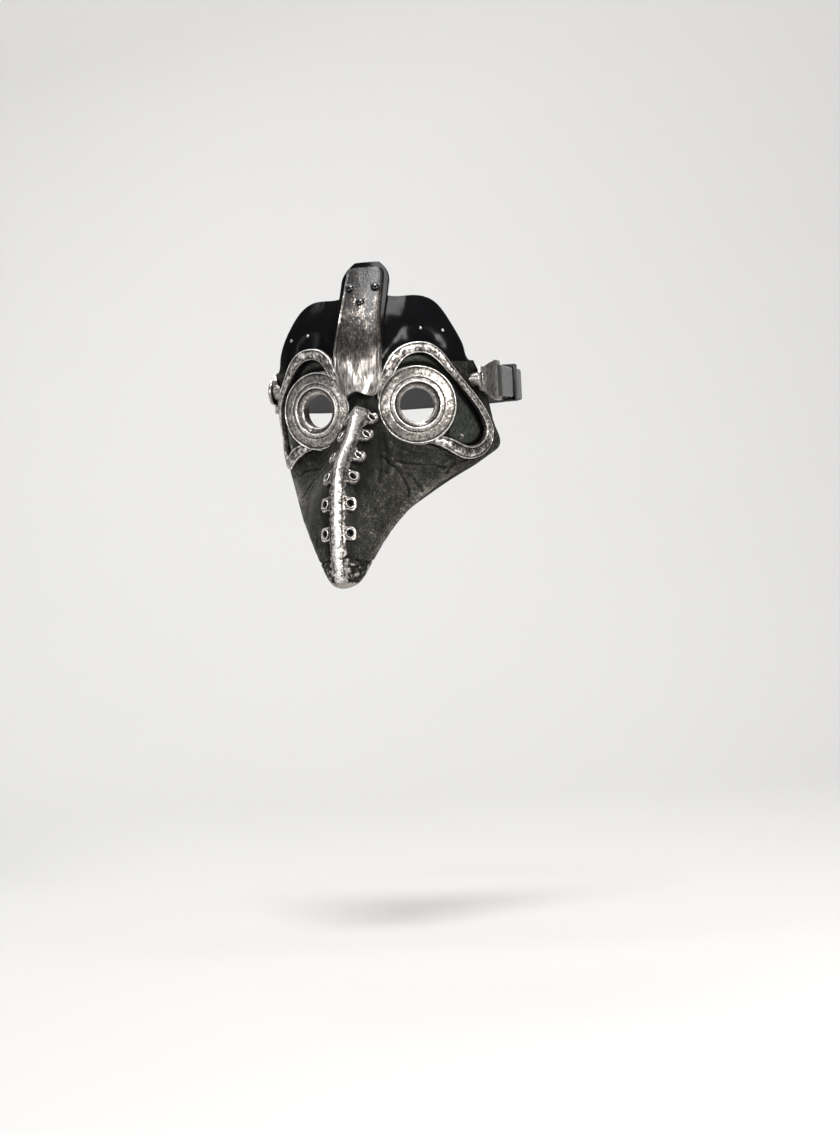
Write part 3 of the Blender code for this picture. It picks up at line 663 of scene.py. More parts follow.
def slide_plastic(name):
    s = Shader(name)
    grain = s.noise(0.5, 3.0, 0.6)
    colour = s.mix(
        s.between(s.noise(2.5), 0.4, 0.7), (0.010, 0.010, 0.010, 1.0), (0.022, 0.022, 0.022, 1.0)
    )
    return s.set(Base_Color=colour, Roughness=s.span(grain, 0.3, 0.45), Normal=s.bump(grain, 0.03, 0.5))


def plaster(name, colour):
    s = Shader(name)
    tone = s.mix(s.noise(400.0, 2.0), colour, tuple(c * 0.97 for c in colour[:3]) + (1.0,))
    return s.set(Base_Color=tone, Roughness=0.9, Specular_IOR_Level=0.2)


MAT = {
    "ring": silver("worn_silver", dark=0.06, pits=0.5, crumple=0.25, mottle=0.3),
    "trim": silver("pitted_silver", dark=0.03, pits=1.0, crumple=0.8, mottle=0.5),
    "plate": silver("brushed_silver", dark=0.13, pits=0.3, crumple=0.10, brushed=True),
    "spine": silver("spine_silver", dark=-0.06, pits=0.8, crumple=0.7),
    "tab": silver("tab_silver", dark=0.0, pits=0.6, crumple=0.4),
    "face": brushed_leather("face_leather"),
    "brow": patent("brow_patent"),
    "pad": pad_leather("pad_leather"),
    "rivet": black_rivet("black_rivet"),
    "steel": aged_steel("aged_steel"),
    "elastic": elastic("black_elastic"),
    "slide": slide_plastic("slide_plastic"),
}


# ---- Leather panels


def crease_relief(points):
    """Depth of the creases, and of the soft ridges beside them, at points of the skin."""
    flat = points[..., (0, 2)]
    relief = np.zeros(points.shape[:-1])
    wander = rough(points, 5.0, 3.3, 2)
    for line, width, depth in CREASES:
        d = distance_to_line(flat, line) + 0.5 * wander
        relief -= depth * np.exp(-((d / width) ** 2))
        relief += 0.30 * depth * np.exp(-(((d - 2.4 * width) / (1.6 * width)) ** 2))
    return relief


def seam_guides(station, guides, height):
    """Guides respaced so that the row starts on the seam plane."""
    tries = np.linspace(0, 1.5, 61)
    xs = skin(station, tries, height)[:, 0]
    start = tries[np.nonzero(xs < MIDLINE_X)[0][-1]] + tries[1] / 2
    return start + guides * (RIM - start) / RIM


def shell_loops(stations, guides, relief, edge_steps=5):
    """Rounded-rim loops of a half shell: the outer row, the rim, and the inner row back."""
    loops = []
    for row, station in enumerate(stations):
        outer = skin(station, guides, relief[row])
        outer[0, 0] = MIDLINE_X
        inner = skin(station, seam_guides(station, guides, -SHELL_T), -SHELL_T)
        inner[0, 0] = MIDLINE_X
        away = outer[-1] - skin(station, guides[-2])
        away /= np.linalg.norm(away)
        t = np.linspace(0, 1, edge_steps + 2)[1:-1, None]
        edge = outer[-1] + t * (inner[-1] - outer[-1]) + 0.9 * np.sin(math.pi * t) * away
        loops.append(np.vstack([outer, edge, inner[::-1]]))
    return np.array(loops)


def shell_object(name, loops, side, wear_and_painted_light, flow):
    rows, count = loops.shape[:2]
    faces = grid_faces(rows, count, wrap_cols=True)
    half = count // 2
    for base in (0, (rows - 1) * count):
        faces += [
            (base + k, base + k + 1, base + count - 2 - k, base + count - 1 - k) for k in range(half - 1)
        ]
        if count % 2:
            faces.append((base + half - 1, base + half, base + half + 1))
    return new_object(name, loops, faces, side, wear_and_painted_light, flow)


def refill(obj, loops, wear_and_painted_light, flow, side):
    """Gives a cut mesh the wear and flow of the nearest points of the uncut one."""
    points = loops.reshape(-1, 3) * (side * MM, MM, MM)
    finder = KDTree(len(points))
    for number, point in enumerate(points):
        finder.insert(point, number)
    finder.balance()
    near = np.array([finder.find(v.co)[1] for v in obj.data.vertices])
    for name, kind, key, values in (
        ("wear_and_painted_light", "FLOAT", "value", wear_and_painted_light), ("flow", "FLOAT_VECTOR", "vector", flow)
    ):
        old = obj.data.attributes.get(name)
        if old is not None:
            obj.data.attributes.remove(old)
        attribute = obj.data.attributes.new(name, kind, "POINT")
        attribute.data.foreach_set(
            key, np.asarray(values, np.float32).reshape(len(points), -1)[near].ravel()
        )


def face_panel(side_name):
    side = SIDES[side_name]
    stations = np.linspace(3, TIP_STATION, 190)
    guides = np.linspace(0, RIM, 120)
    base = skin(stations[:, None], guides[None, :])
    relief = 1.1 * crease_relief(base)
    relief += 0.22 * rough(base * (1.0, 1.0, 0.35), 5.0, 11.0)
    relief *= smooth(0.0, 0.35, guides)[None, :]
    relief -= 0.6 * smooth(TIP_STATION - 0.06, TIP_STATION, stations)[:, None]
    loops = shell_loops(stations, guides, relief)
    # How much bloom sits on the leather: more down the beak, less towards the temple above the cheek, darker
    # in a band beside the spine and tabs, lighter towards the rim.
    bloom_and_painted_light = 0.34 + 0.12 * smooth(
        -20, -60, base[..., 2]
    ) - 0.25 * smooth(8, 40, base[..., 1]) * smooth(-10, 5, base[..., 2])
    # Painted shade in the creases, and a painted highlight on the soft ridges beside them.
    bloom_and_painted_light += 0.30 * crease_relief(base)
    bloom_and_painted_light -= 0.18 * np.exp(-(((guides[None, :] - 0.9) / 0.35) ** 2))
    bloom_and_painted_light += 0.12 * smooth(2.9, 3.9, guides)[None, :]
    wear_and_painted_light = np.full(loops.shape[:2], 0.08)
    wear_and_painted_light[:, : len(guides)] = np.clip(bloom_and_painted_light, 0, 1)
    wear_and_painted_light[:, len(guides) : len(guides) + 5] = 0.2
    flow = np.zeros(loops.shape)
    span = np.concatenate([guides * 18, [RIM * 18] * 5, guides[::-1] * 18])
    flow[..., 0] = span[None, :] * MM
    flow[..., 1] = (stations * 16)[:, None] * MM
    obj = shell_object(f"face_panel_{side_name}_leather", loops, side, wear_and_painted_light, flow)
    x_axis = Vector((1, 0, 0))
    boolean(
        obj,
        (
            (
                prism(rectangle(-5, TEMPLE_CUT_Z - 0.03, 95, 130), (0, 0, 0), (1, 0, 0), UP, 120, side),
                "DIFFERENCE"
            ),
            (prism(goggle_outline(), EYE, GOGGLE_OUT, UP, 70, side), "DIFFERENCE"),
            (cylinder(BEZEL_R + 0.3, 60, EYE, EYE_AXIS, side), "DIFFERENCE"),
            (cylinder(2.2, 20, (65, PIVOT.y, PIVOT.z), x_axis, side, 32), "DIFFERENCE"),
        ),
    )
    refill(obj, loops, wear_and_painted_light, flow, side)
    finish_piece(obj, MAT["face"], "mask", [f"face_panel_{side_name}"], 50)


def brow_panel(side_name):
    side = SIDES[side_name]
    stations = np.linspace(0, 3.9, 90)
    guides = np.linspace(0, RIM, 90)
    base = skin(stations[:, None], guides[None, :])
    relief = 0.35 * rough(base, 16.0, 5.0, 2)
    fold = distance_to_line(base[..., (0, 2)], ((16, 30), (24, 45), (27, 60), (26, 74)))
    relief += 0.5 * np.exp(-((fold / 3.5) ** 2))
    relief *= smooth(0.0, 0.35, guides)[None, :]
    loops = shell_loops(stations, guides, relief)
    wear_and_painted_light = np.zeros(loops.shape[:2])
    flow = np.zeros(loops.shape)
    obj = shell_object(f"brow_panel_{side_name}_patent", loops, side, wear_and_painted_light, flow)
    low = TEMPLE_CUT_Z + 0.03
    outline = spline(CROWN_OUTLINE, np.linspace(0, len(CROWN_OUTLINE) - 1, 60)).tolist()
    crown = [(-5, low), (-5, 80)] + outline + [(90, 27.6), (90, low)]
    boolean(
        obj,
        (
            (prism(crown, (0, 0, 0), (1, 0, 0), UP, 120, side), "INTERSECT"),
            (prism(goggle_outline(), EYE, GOGGLE_OUT, UP, 70, side), "DIFFERENCE"),
        ),
    )
    finish_piece(obj, MAT["brow"], "mask", [f"brow_panel_{side_name}"], 50)


def frame_distance(points):
    """Distance of skin points from the goggle frame's inner edge and the eye ring, in the goggle plane."""
    local = points - np.array(EYE)
    flat = np.stack([local @ np.array(GOGGLE_OUT), local[..., 2]], -1)
    rows = spline(FRAME_LINE, np.linspace(0, len(FRAME_LINE) - 1, 70))
    to_frame = distance_to_line(flat, [tuple(r[:2]) for r in rows]) - 3.2
    eye_flat = np.stack([local @ np.array(EYE_OUT), local[..., 2]], -1)
    return to_frame, np.linalg.norm(eye_flat, axis=-1) - BEZEL_R


def goggle_pad(side_name):
    side = SIDES[side_name]
    stations = np.linspace(2.4, 7.6, 110)
    guides = np.linspace(0.6, 3.96, 90)
    base = skin(stations[:, None], guides[None, :])
    to_frame, to_ring = frame_distance(base)
    edge = np.minimum(to_frame, to_ring * 0.9)
    relief = -PAD_SINK - 0.7 + 1.3 * smooth(0.3, 3.4, edge) + 0.25 * rough(base, 6.0, 2.0)
    outer = skin(stations[:, None], guides[None, :], relief)
    inner = skin(stations[:, None], guides[None, :], -PAD_SINK - PAD_T - 0.6)
    loops = np.concatenate([outer, inner[:, ::-1]], 1)
    wear_and_painted_light = np.full(loops.shape[:2], 0.2)
    # Darker along the goggle frame and the eye ring: a painted shadow they cast on the pad.
    wear_and_painted_light[:, : len(guides)] = 0.08 + 0.5 * smooth(0.6, 3.6, edge)
    flow = np.zeros(loops.shape)
    obj = shell_object(f"goggle_pad_{side_name}_leather", loops, side, wear_and_painted_light, flow)
    boolean(
        obj,
        (
            (prism(goggle_outline(), EYE, GOGGLE_OUT, UP, 70, side), "INTERSECT"),
            (cylinder(BEZEL_R + 0.3, 60, EYE, EYE_AXIS, side), "DIFFERENCE"),
        ),
    )
    refill(obj, loops, wear_and_painted_light, flow, side)
    finish_piece(obj, MAT["pad"], "mask", [f"goggle_pad_{side_name}"], 50)


# ---- Silver pieces


BEZEL_PROFILE = (
    # radius, height, wear: low in the grooves as painted shade, high where the paint is rubbed on ridges and
    # rims
    (
        17.70, -5.0, 0.1
    ), (25.3, -5.0, 0.2), (25.3, 1.6, 0.35), (25.25, 2.3, 0.7), (24.95, 2.9, 1.0), (24.5, 3.0, 0.95),
    (24.2, 2.7, 0.4), (23.95, 2.4, 0.1), (
        23.6, 2.45, 0.35
    ), (22.5, 2.8, 0.6), (21.0, 3.2, 0.55), (19.5, 3.6, 0.6),
    (18.5, 3.85, 0.7), (18.0, 3.85, 0.6), (17.72, 3.6, 0.3), (17.70, 3.0, 0.1),
)
# Columns as above: the grooves are painted shade.
RING_PROFILE = (
    (11.1, -5.0, 0.1), (
        17.64, -5.0, 0.1
    ), (17.64, 3.0, 0.1), (17.60, 3.5, 0.35), (17.2, 3.75, 0.6), (16.4, 4.0, 0.65),
    (
        15.6, 4.4, 0.85
    ), (15.1, 4.55, 1.0), (14.8, 4.4, 0.9), (14.5, 3.9, 0.3), (14.1, 3.3, 0.2), (13.2, 2.6, 0.5),
    (12.3, 2.0, 0.6), (11.7, 1.7, 0.85), (11.3, 1.3, 0.9), (11.1, 0.6, 0.4),
)


def resampled(profile, steps):
    """The profile with straight runs divided, so that noise and wear vary along it."""
    rows = np.asarray(profile, float)
    rows = np.vstack([rows, rows[:1]])
    out = []
    for a, b in zip(rows[:-1], rows[1:]):
        count = max(1, int(round(np.linalg.norm((b - a)[:2]) / steps)))
        out += [a + (b - a) * k / count for k in range(count)]
    return np.array(out)


def eye_rings(side_name):
    side = SIDES[side_name]
    for name, profile, node in (
        (
            "eye_bezel", BEZEL_PROFILE, f"eye_bezel_{side_name}"
        ), ("eye_ring", RING_PROFILE, f"eye_ring_{side_name}"),
    ):
        rows = resampled(profile, 0.35)
        obj = turned(f"{name}_{side_name}_silver", rows[:, :2], EYE, EYE_AXIS, 220, side, 0.28, rows[:, 2])
        finish_piece(obj, MAT["ring"], "mask", [node], 60)


FRAME_SECTION = (
    # across, height, wear: low in the grooves as painted shade, high where the paint is rubbed on the ridges
    (-0.50, 0.0, 0.1), (-0.50, 0.50, 0.4), (
        -0.47, 0.78, 0.85
    ), (-0.42, 0.90, 1.0), (-0.37, 0.82, 0.7), (-0.33, 0.66, 0.12),
    (
        -0.28, 0.74, 0.5
    ), (-0.20, 0.88, 0.6), (-0.10, 0.97, 0.6), (0.0, 1.0, 0.6), (0.10, 0.97, 0.6), (0.20, 0.88, 0.6),
    (0.28, 0.74, 0.5), (
        0.33, 0.66, 0.12
    ), (0.37, 0.82, 0.7), (0.42, 0.90, 1.0), (0.47, 0.78, 0.85), (0.50, 0.50, 0.4),
    (0.50, 0.0, 0.1),
)


def goggle_frame(side_name):
    """The pitted silver band round the goggles."""
    side = SIDES[side_name]
    rows = spline(FRAME_LINE, np.linspace(0.2, len(FRAME_LINE) - 1.15, 330))
    runs = np.gradient(rows[:, :2], axis=0)
    runs /= np.linalg.norm(runs, axis=1)[:, None]
    section = np.array(FRAME_SECTION)
    loops = np.empty((len(rows), len(section), 3))
    for i, ((a, b, width), run) in enumerate(zip(rows, runs)):
        for j, (across, high, _) in enumerate(section):
            point = (float(a + across * width * run[1]), float(b - across * width * run[0]))
            loops[i, j] = goggle_point(*point, REST + high * (FRAME_H - REST) if high else FOOT)
    wear_and_painted_light = np.broadcast_to(section[:, 2], loops.shape[:2]).copy()
    dents = 0.7 * rough(loops, 1.6, 4.0) + 0.6 * rough(loops, 3.6, 9.0)
    inside = (np.abs(section[:, 0]) < 0.3) & (section[:, 1] > 0.5)
    # Lighter on the raised dents and darker in the sunken ones: painted light that follows the relief.
    wear_and_painted_light += np.where(inside, 0.75 * dents, 0.4 * dents)
    outward = np.array(GOGGLE_AXIS)
    loops = loops + outward * (np.where(inside, 0.45, 0.18) * dents)[..., None]
    count = len(section)
    faces = grid_faces(len(rows), count, wrap_cols=True)
    faces += [list(range(count)), list(range((len(rows) - 1) * count, len(rows) * count))[::-1]]
    flow = np.zeros(loops.shape)
    obj = new_object(f"goggle_frame_{side_name}_silver", loops, faces, side, np.clip(wear_and_painted_light, 0, 1), flow)
    boolean(obj, ((cylinder(BEZEL_R + 0.1, 60, EYE, EYE_AXIS, side), "DIFFERENCE"),))
    refill(obj, loops, np.clip(wear_and_painted_light, 0, 1), flow, side)
    finish_piece(obj, MAT["trim"], "mask", [f"goggle_frame_{side_name}"], 50)


def plate_half_width(z):
    low, top = z - PLATE_BOTTOM, PLATE_TOP - z
    width = np.interp(z, (PLATE_BOTTOM, 22, 36, PLATE_TOP), (9.5, 12.4, 13.8, 11.8))
    return width - 5.0 * np.maximum(0, 1 - low / 8.0) ** 2 - 2.0 * np.maximum(0, 1 - top / 4.0) ** 2


def backing_half_width(z):
    """The backing is wide behind the plate's upper part and a narrow tongue behind its lower part."""
    wide = 15.6 - 7.5 * np.maximum(0, 1 - (BACKING_TOP - z) / 13.0) ** 2
    return np.where(z < 35, np.interp(z, (TONGUE_BOTTOM, 31, BACKING_BOTTOM + 1.5), (6.0, 7.5, 15.6)), wide)


def forehead_strip(zs, half_width, low_h, high_h, edge_drop, columns):
    """Rows of a strip up the forehead: arched fronts where the skin is a ridge, and backs on the skin."""
    parts = np.linspace(-1, 1, columns)
    stations = station_at(zs)
    halves = half_width(zs)
    xs = parts[None, :] * halves[:, None]
    front = strip(stations[:, None], xs, high_h - edge_drop * parts[None, :] ** 2 + np.zeros_like(xs))
    middle, edge = front[:, columns // 2, 1], front[:, -1, 1]
    arch = middle[:, None] + parts[None, :] ** 2 * (edge - middle)[:, None]
    front[..., 1] = np.minimum(front[..., 1], arch)
    back = strip(stations[:, None], xs, low_h)
    return parts, front, back


def plate():
    zs = np.concatenate([[PLATE_BOTTOM, 8.6], np.linspace(9.4, 87.8, 150), [88.2, PLATE_TOP]])
    parts, front, back = forehead_strip(zs, plate_half_width, PLATE_LIFT, PLATE_LIFT + PLATE_T, 0.8, 61)
    edge = np.abs(parts)[None, :]
    lip = 0.45 * np.exp(-(((edge - 0.93) / 0.035) ** 2)) - 0.25 * np.exp(-(((edge - 0.84) / 0.03) ** 2))
    dents = rough(front * (1.0, 1.0, 0.5), 7.0, 8.0)
    grain = rough(front * (1.0, 1.0, 0.12), 0.9, 9.0, 2)
    front[..., 1] -= lip + 0.18 * dents + 0.10 * grain
    roll = 1.3 * smooth(0.93, 1.0, edge) ** 2 * np.ones_like(dents)
    front[..., 1] += roll
    # Painted highlight over the lower third and on the lip at the bottom end; lighter on the raised edge lip
    # and darker in the groove inside it as painted light; lighter on raised dents and grain; darker towards
    # the top where the silver paint thins.
    rubbed_and_painted_light = 0.40 + 0.36 * smooth(38, 24, zs)[:, None] - 0.24 * smooth(56, 84, zs)[:, None]
    rubbed_and_painted_light = rubbed_and_painted_light + 0.16 * np.exp(
        -(((edge - 0.93) / 0.04) ** 2)
    ) - 0.2 * np.exp(-(((edge - 0.84) / 0.03) ** 2))
    rubbed_and_painted_light = rubbed_and_painted_light + 0.30 * grain + 0.15 * dents + 0.15 * smooth(13, 9, zs)[:, None]
    wear_and_painted_light = np.full((len(zs), 122), 0.15)
    wear_and_painted_light[:, :61] = np.clip(rubbed_and_painted_light, 0, 1)
    loops = np.concatenate([front, back[:, ::-1]], 1)
    obj = shell_object("forehead_plate_silver", loops, 1, wear_and_painted_light, np.zeros(loops.shape))
    finish_piece(obj, MAT["plate"], "mask", ["forehead_plate"], 50)


def backing():
    zs = np.concatenate(
        [np.linspace(TONGUE_BOTTOM, 36, 27), np.linspace(38, 80, 24), np.linspace(80.5, BACKING_TOP, 40)]
    )
    _, front, back = forehead_strip(zs, backing_half_width, FOOT, REST + BACKING_T, 0.6, 31)
    loops = np.concatenate([front, back[:, ::-1]], 1)
    obj = shell_object(
        "forehead_backing_patent", loops, 1, np.zeros(loops.shape[:2]), np.zeros(loops.shape)
    )
    bevel(obj, 0.7)
    finish_piece(obj, MAT["brow"], "mask", ["forehead_backing"], 50)


def dome(name, radius, height, foot, axis, material, node, side=1, collar=0.0, body="mask"):
    """A domed rivet head, with a flat collar under it if it has one."""
    angles = np.linspace(0, math.pi / 2, 10)
    profile = [(radius + collar, -0.3), (radius + collar, 0.25)]
    if collar:
        profile += [(radius + collar * 0.4, 0.4), (radius + 0.05, 0.35)]
    profile += [
        (radius * math.cos(a), 0.3 + (height - 0.3) * math.sin(a)) for a in angles[:-1]
    ] + [(0.06 * radius, height)]
    obj = turned(name, profile, foot, axis, 40, side, wear_and_painted_light=np.full(len(profile), 0.6), closed=False)
    finish_piece(obj, material, body, [node], 45)


def rivets_and_studs():
    for number, (x, z) in enumerate(PLATE_RIVETS, 1):
        station = station_at(z)
        rest, ahead = strip(station, x, (PLATE_LIFT + PLATE_T + 0.4, 12.0))
        dome(
            f"forehead_rivet_{number}_dome", RIVET_R, 1.5, rest, ahead - rest, MAT["rivet"],
            f"forehead_rivet_{number}"
        )
    for side_name, side in SIDES.items():
        for number, (x, z) in enumerate(BROW_STUDS, 1):
            start, ahead = Vector((x, -80, z)), Vector((0, 1, 0))
            foot = on_skin(start, ahead, 0.2)
            axis = on_skin(start, ahead, 10) - foot
            node = f"brow_stud_{side_name}_{number}"
            dome(f"{node}_dome", 1.15, 1.2, foot, axis, MAT["steel"], node, side)
        foot = goggle_point(*PAD_STUD, -PAD_SINK + 0.6)
        axis = goggle_point(*PAD_STUD, 10) - foot
        dome(
            f"pad_stud_{side_name}_dome", 1.3, 1.4, foot, axis, MAT["steel"],
            f"pad_stud_{side_name}", side, 0.5
        )


SPINE_SECTION = (
    # across, height, wear: one half, from the foot to the ridge; low at the foot and in the groove as painted
    # shade, high on the crown as a painted highlight
    (1.22, 0.0, 0.1), (1.28, 0.22, 0.3), (
        1.15, 0.40, 0.75
    ), (0.95, 0.50, 0.45), (0.80, 0.60, 0.2), (0.66, 0.74, 0.65),
    (0.48, 0.86, 0.95), (0.30, 0.94, 1.0), (0.15, 0.98, 1.0), (0.0, 1.0, 1.0),
)


def spine():
    """The ridge bar: a crumpled, ragged-edged strip with its crown painted white as a highlight."""
    stations = np.linspace(SPINE_TOP_STATION, SPINE_END_STATION, 420)
    half = np.array(SPINE_SECTION)
    section = np.vstack(
        [half * (-1, 1, 1), half[-2::-1], [(0.5, 0.0, 0.1), (0.0, 0.0, 0.1), (-0.5, 0.0, 0.1)]]
    )
    halves = SPINE_HALF_W * (1.12 - 0.30 * np.maximum(0.0, stations - 11) / 2)
    taper = 0.5 + 0.5 * smooth(
        0, 0.25, stations - SPINE_TOP_STATION
    ) * smooth(0, 0.4, SPINE_END_STATION - stations)
    along = np.broadcast_to((stations * 16)[:, None], (len(stations), len(section)))
    sides = np.broadcast_to(np.sign(section[:, 0]) * 9.0, along.shape)
    seeds = np.stack([sides, along, np.zeros_like(along)], -1)
    outer_part = smooth(0.5, 1.2, np.abs(section[:, 0]))[None, :]
    ragged = 1 + outer_part * (0.30 * rough(seeds, 3.0, 1.0, 3) - 0.04)
    head = 1 + 0.25 * np.exp(-(((stations - SPINE_TOP_STATION - 0.25) / 0.22) ** 2))
    xs = section[None, :, 0] * (halves * head)[:, None] * ragged
    heights = np.where(section[None, :, 1] > 0, REST + section[None, :, 1] * SPINE_H * taper[:, None], FOOT)
    lower = smooth(7.6, 8.6, stations)[:, None]
    groove = np.exp(-(((np.abs(section[:, 0]) - 0.42) / 0.12) ** 2))[None, :] * (section[None, :, 1] > 0.5)
    loops = strip(stations[:, None], xs, heights)
    raised = section[None, :, 1] > 0.1
    crumple = rough(loops, 3.0, 6.0)
    chips = rough(loops, 1.1, 2.0)
    loops[..., 1] -= (0.55 * crumple + 0.30 * chips - 0.35 * lower * groove) * raised
    # Painted shade in the groove down the lower beak; the raised crumples and chips are lighter, painted
    # light that follows the relief.
    wear_and_painted_light = section[None, :, 2] - 0.35 * lower * groove + 0.60 * chips + 0.40 * crumple
    count = len(section)
    faces = grid_faces(len(stations), count, wrap_cols=True)
    faces += [list(range(count)), list(range((len(stations) - 1) * count, len(stations) * count))[::-1]]
    obj = new_object("beak_spine_silver", loops, faces, 1, np.clip(wear_and_painted_light, 0, 1), np.zeros(loops.shape))
    finish_piece(obj, MAT["spine"], "mask", ["beak_spine"], 60)


def lace_tab(side_name, number, height, width):
    """A tab that flares into the spine, raised along its edge, with a rolled eyelet."""
    side = SIDES[side_name]
    station = float(station_at(height))
    ends = skin(np.array([station - 0.05, station + 0.05]), 0.4)
    half = width / 2 / (np.linalg.norm(ends[1] - ends[0]) / 0.1)
    rows, cols = 33, 33
    along = np.sin(np.linspace(-math.pi / 2, math.pi / 2, rows))
    out = np.linspace(0, 1, cols) ** 0.9
    reach = TAB_REACH + 0.25 - 2.6 * np.abs(along) ** 3.2
    xs = SPINE_HALF_W - 0.1 + out[None, :] * (reach[:, None] - SPINE_HALF_W)
    flare = 1 + 0.30 * np.exp(-out / 0.12) - 0.06 * np.exp(-(((out - 0.4) / 0.25) ** 2))
    side_edge = smooth(0.62, 1.0, np.abs(along))[:, None]
    end_edge = smooth(0.80, 1.0, out)[None, :]
    reached = np.maximum(np.abs(along)[:, None], out[None, :])
    rim_line = np.exp(-(((reached - 0.80) / 0.12) ** 2)) * smooth(0.0, 0.25, out)[None, :]
    saddle = np.exp(-((out / 0.16) ** 2))[None, :]
    high = TAB_H - 0.15 + 0.55 * rim_line + 0.7 * saddle - 1.2 * np.maximum(side_edge**3, end_edge**3)
    at = station + along[:, None] * half * flare[None, :]
    outer = strip(at, xs, REST + high)
    inner = strip(at, xs, FOOT)
    marks = rough(outer, 1.4, number + 20.0)
    outer[..., 1] -= 0.22 * marks
    wear_and_painted_light = np.full((rows, cols * 2), 0.1)
    # Painted highlight along the raised rim line and lighter on the raised marks; darker down the side and
    # end edges as painted shade.
    rubbed_and_painted_light = 0.30 + 0.50 * rim_line + 0.4 * marks + 0.25 * saddle - 0.3 * np.maximum(
        side_edge, end_edge
    ) ** 6
    wear_and_painted_light[:, :cols] = np.clip(rubbed_and_painted_light, 0, 1)
    loops = np.concatenate([outer, inner[:, ::-1]], 1)
    name = f"lace_tab_{side_name}_{number}"
    obj = shell_object(f"{name}_silver", loops, side, wear_and_painted_light, np.zeros(loops.shape))
    foot, ahead = strip(station, EYELET_X, (REST, 4.0))
    axis = Vector(ahead - foot).normalized()
    boolean(obj, ((cylinder(EYELET_BARREL_R + 0.1, 6, foot, axis, side, 48), "DIFFERENCE"),))
    refill(obj, loops, wear_and_painted_light, np.zeros(loops.shape), side)
    finish_piece(obj, MAT["tab"], "mask", [name], 50)
    top = TAB_H
    # Third column: white on the rolled rim as a painted highlight, black down the barrel as painted shade in
    # the hole.
    profile = np.array((
        (1.4, 0.0, 0.0), (2.0, 0.0, 0.0), (2.0, top - 0.1, 0.0), (
            2.85, top - 0.15, 0.1
        ), (3.05, top + 0.15, 0.5),
        (2.95, top + 0.5, 0.9), (2.65, top + 0.68, 1.0), (2.35, top + 0.5, 0.6), (2.1, top + 0.1, 0.0),
        (1.6, top - 0.4, 0.0), (1.42, top - 0.9, 0.0),
    ))
    ring = turned(
        f"eyelet_{side_name}_{number}_ring", profile[:, :2], foot, axis, 40, side, 0.1, profile[:, 2]
    )
    finish_piece(ring, MAT["ring"], "mask", [f"eyelet_{side_name}_{number}"], 60)


def tip_cap():
    """The beak's closed tip: dark facets with silver worn along the rim and the point."""
    guides = np.linspace(0, RIM, 41)
    stations = np.linspace(TIP_STATION - 0.04, 13, 60)
    outer, inner = [], []
    for station in stations:
        row = skin(station, guides, -0.9 * (1 - smooth(-0.01, 0.09, station - TIP_STATION)))
        centre = np.array((0, row[-1][1], row[-1][2]))
        reach = np.linalg.norm(row - centre, axis=1)[:, None]
        wall = centre + (row - centre) * np.maximum(0.25, 1 - 2.6 / reach)
        outer.append(np.vstack([row[:0:-1] * (-1, 1, 1), row]))
        inner.append(np.vstack([wall[:0:-1] * (-1, 1, 1), wall]))
    last_outer, last_inner = outer[-1], inner[-1]
    for shrink, drop in ((0.95, 0.45), (0.85, 0.9), (0.7, 1.4), (0.5, 1.8), (0.3, 2.1), (0.1, 2.3)):
        close = np.array((shrink, shrink, 1.0))
        outer.append((last_outer - (0, -80, 0)) * close + (0, -80, -drop))
        inner.append((last_inner - (0, -80, 0)) * close + (0, -80, 1.6 - drop))
    outer, inner = np.array(outer), np.array(inner)
    part = np.abs(np.linspace(-RIM, RIM, 81))[None, :]
    down = np.linspace(0, 1, len(outer))[:, None]
    marks = rough(outer, 2.2, 14.0)
    facet = np.exp(-(((part - 2.0) / 0.25) ** 2))
    outer[..., 1] -= 0.3 * marks + 0.35 * facet * smooth(0, 0.2, 1 - down)
    wear_and_painted_light = 0.30 + 0.55 * smooth(3.3, 3.9, part) + 0.45 * smooth(
        0.60, 0.9, down
    ) + 0.5 * facet * smooth(0.1, 0.4, down)
    wear_and_painted_light = (wear_and_painted_light + 0.8 * np.exp(-((part / 0.9) ** 2)) + 0.6 * marks) * (0.4 + 0.6 * smooth(0.0, 0.08, down))
    loops = np.concatenate([outer, inner[:, ::-1]], 1)
    full = np.full(loops.shape[:2], 0.1)
    full[:, :81] = np.clip(wear_and_painted_light, 0, 1)
    flow = np.zeros(loops.shape)
    flow[..., 0] = np.concatenate([np.linspace(-30, 30, 81), np.linspace(30, -30, 81)])[None, :] * MM
    flow[..., 1] = np.linspace(180, 206, len(outer))[:, None] * MM
    obj = shell_object("beak_tip_cap_leather", loops, 1, full, flow)
    finish_piece(obj, MAT["face"], "mask", ["beak_tip_cap"], 60)


# ---- Strap and fittings


def strap_path():
    left = [(STRAP_X - LAYER_X, y) for y in np.linspace(FOLD_END_Y["left"], FOLD_Y, 24)]
    angles = np.linspace(0, math.pi, 17)[1:-1]
    turn = [(STRAP_X - LAYER_X * math.cos(a), FOLD_Y - LAYER_X * math.sin(a)) for a in angles]
    outer_x = STRAP_X + LAYER_X
    run = [(outer_x, y) for y in np.linspace(FOLD_Y, STRAIGHT_END_Y, 24)]
    angles = np.linspace(0, math.pi, 90)[1:-1]
    bend = [(outer_x * math.cos(a), STRAIGHT_END_Y + LOOP_DEPTH * math.sin(a)) for a in angles]
    right = [(-x, y) for x, y in (run[::-1] + turn[::-1])]
    end = [(-(STRAP_X - LAYER_X), y) for y in np.linspace(FOLD_Y, FOLD_END_Y["right"], 10)][1:]
    return np.array(left + turn + run[1:] + bend + right[:-1] + end)


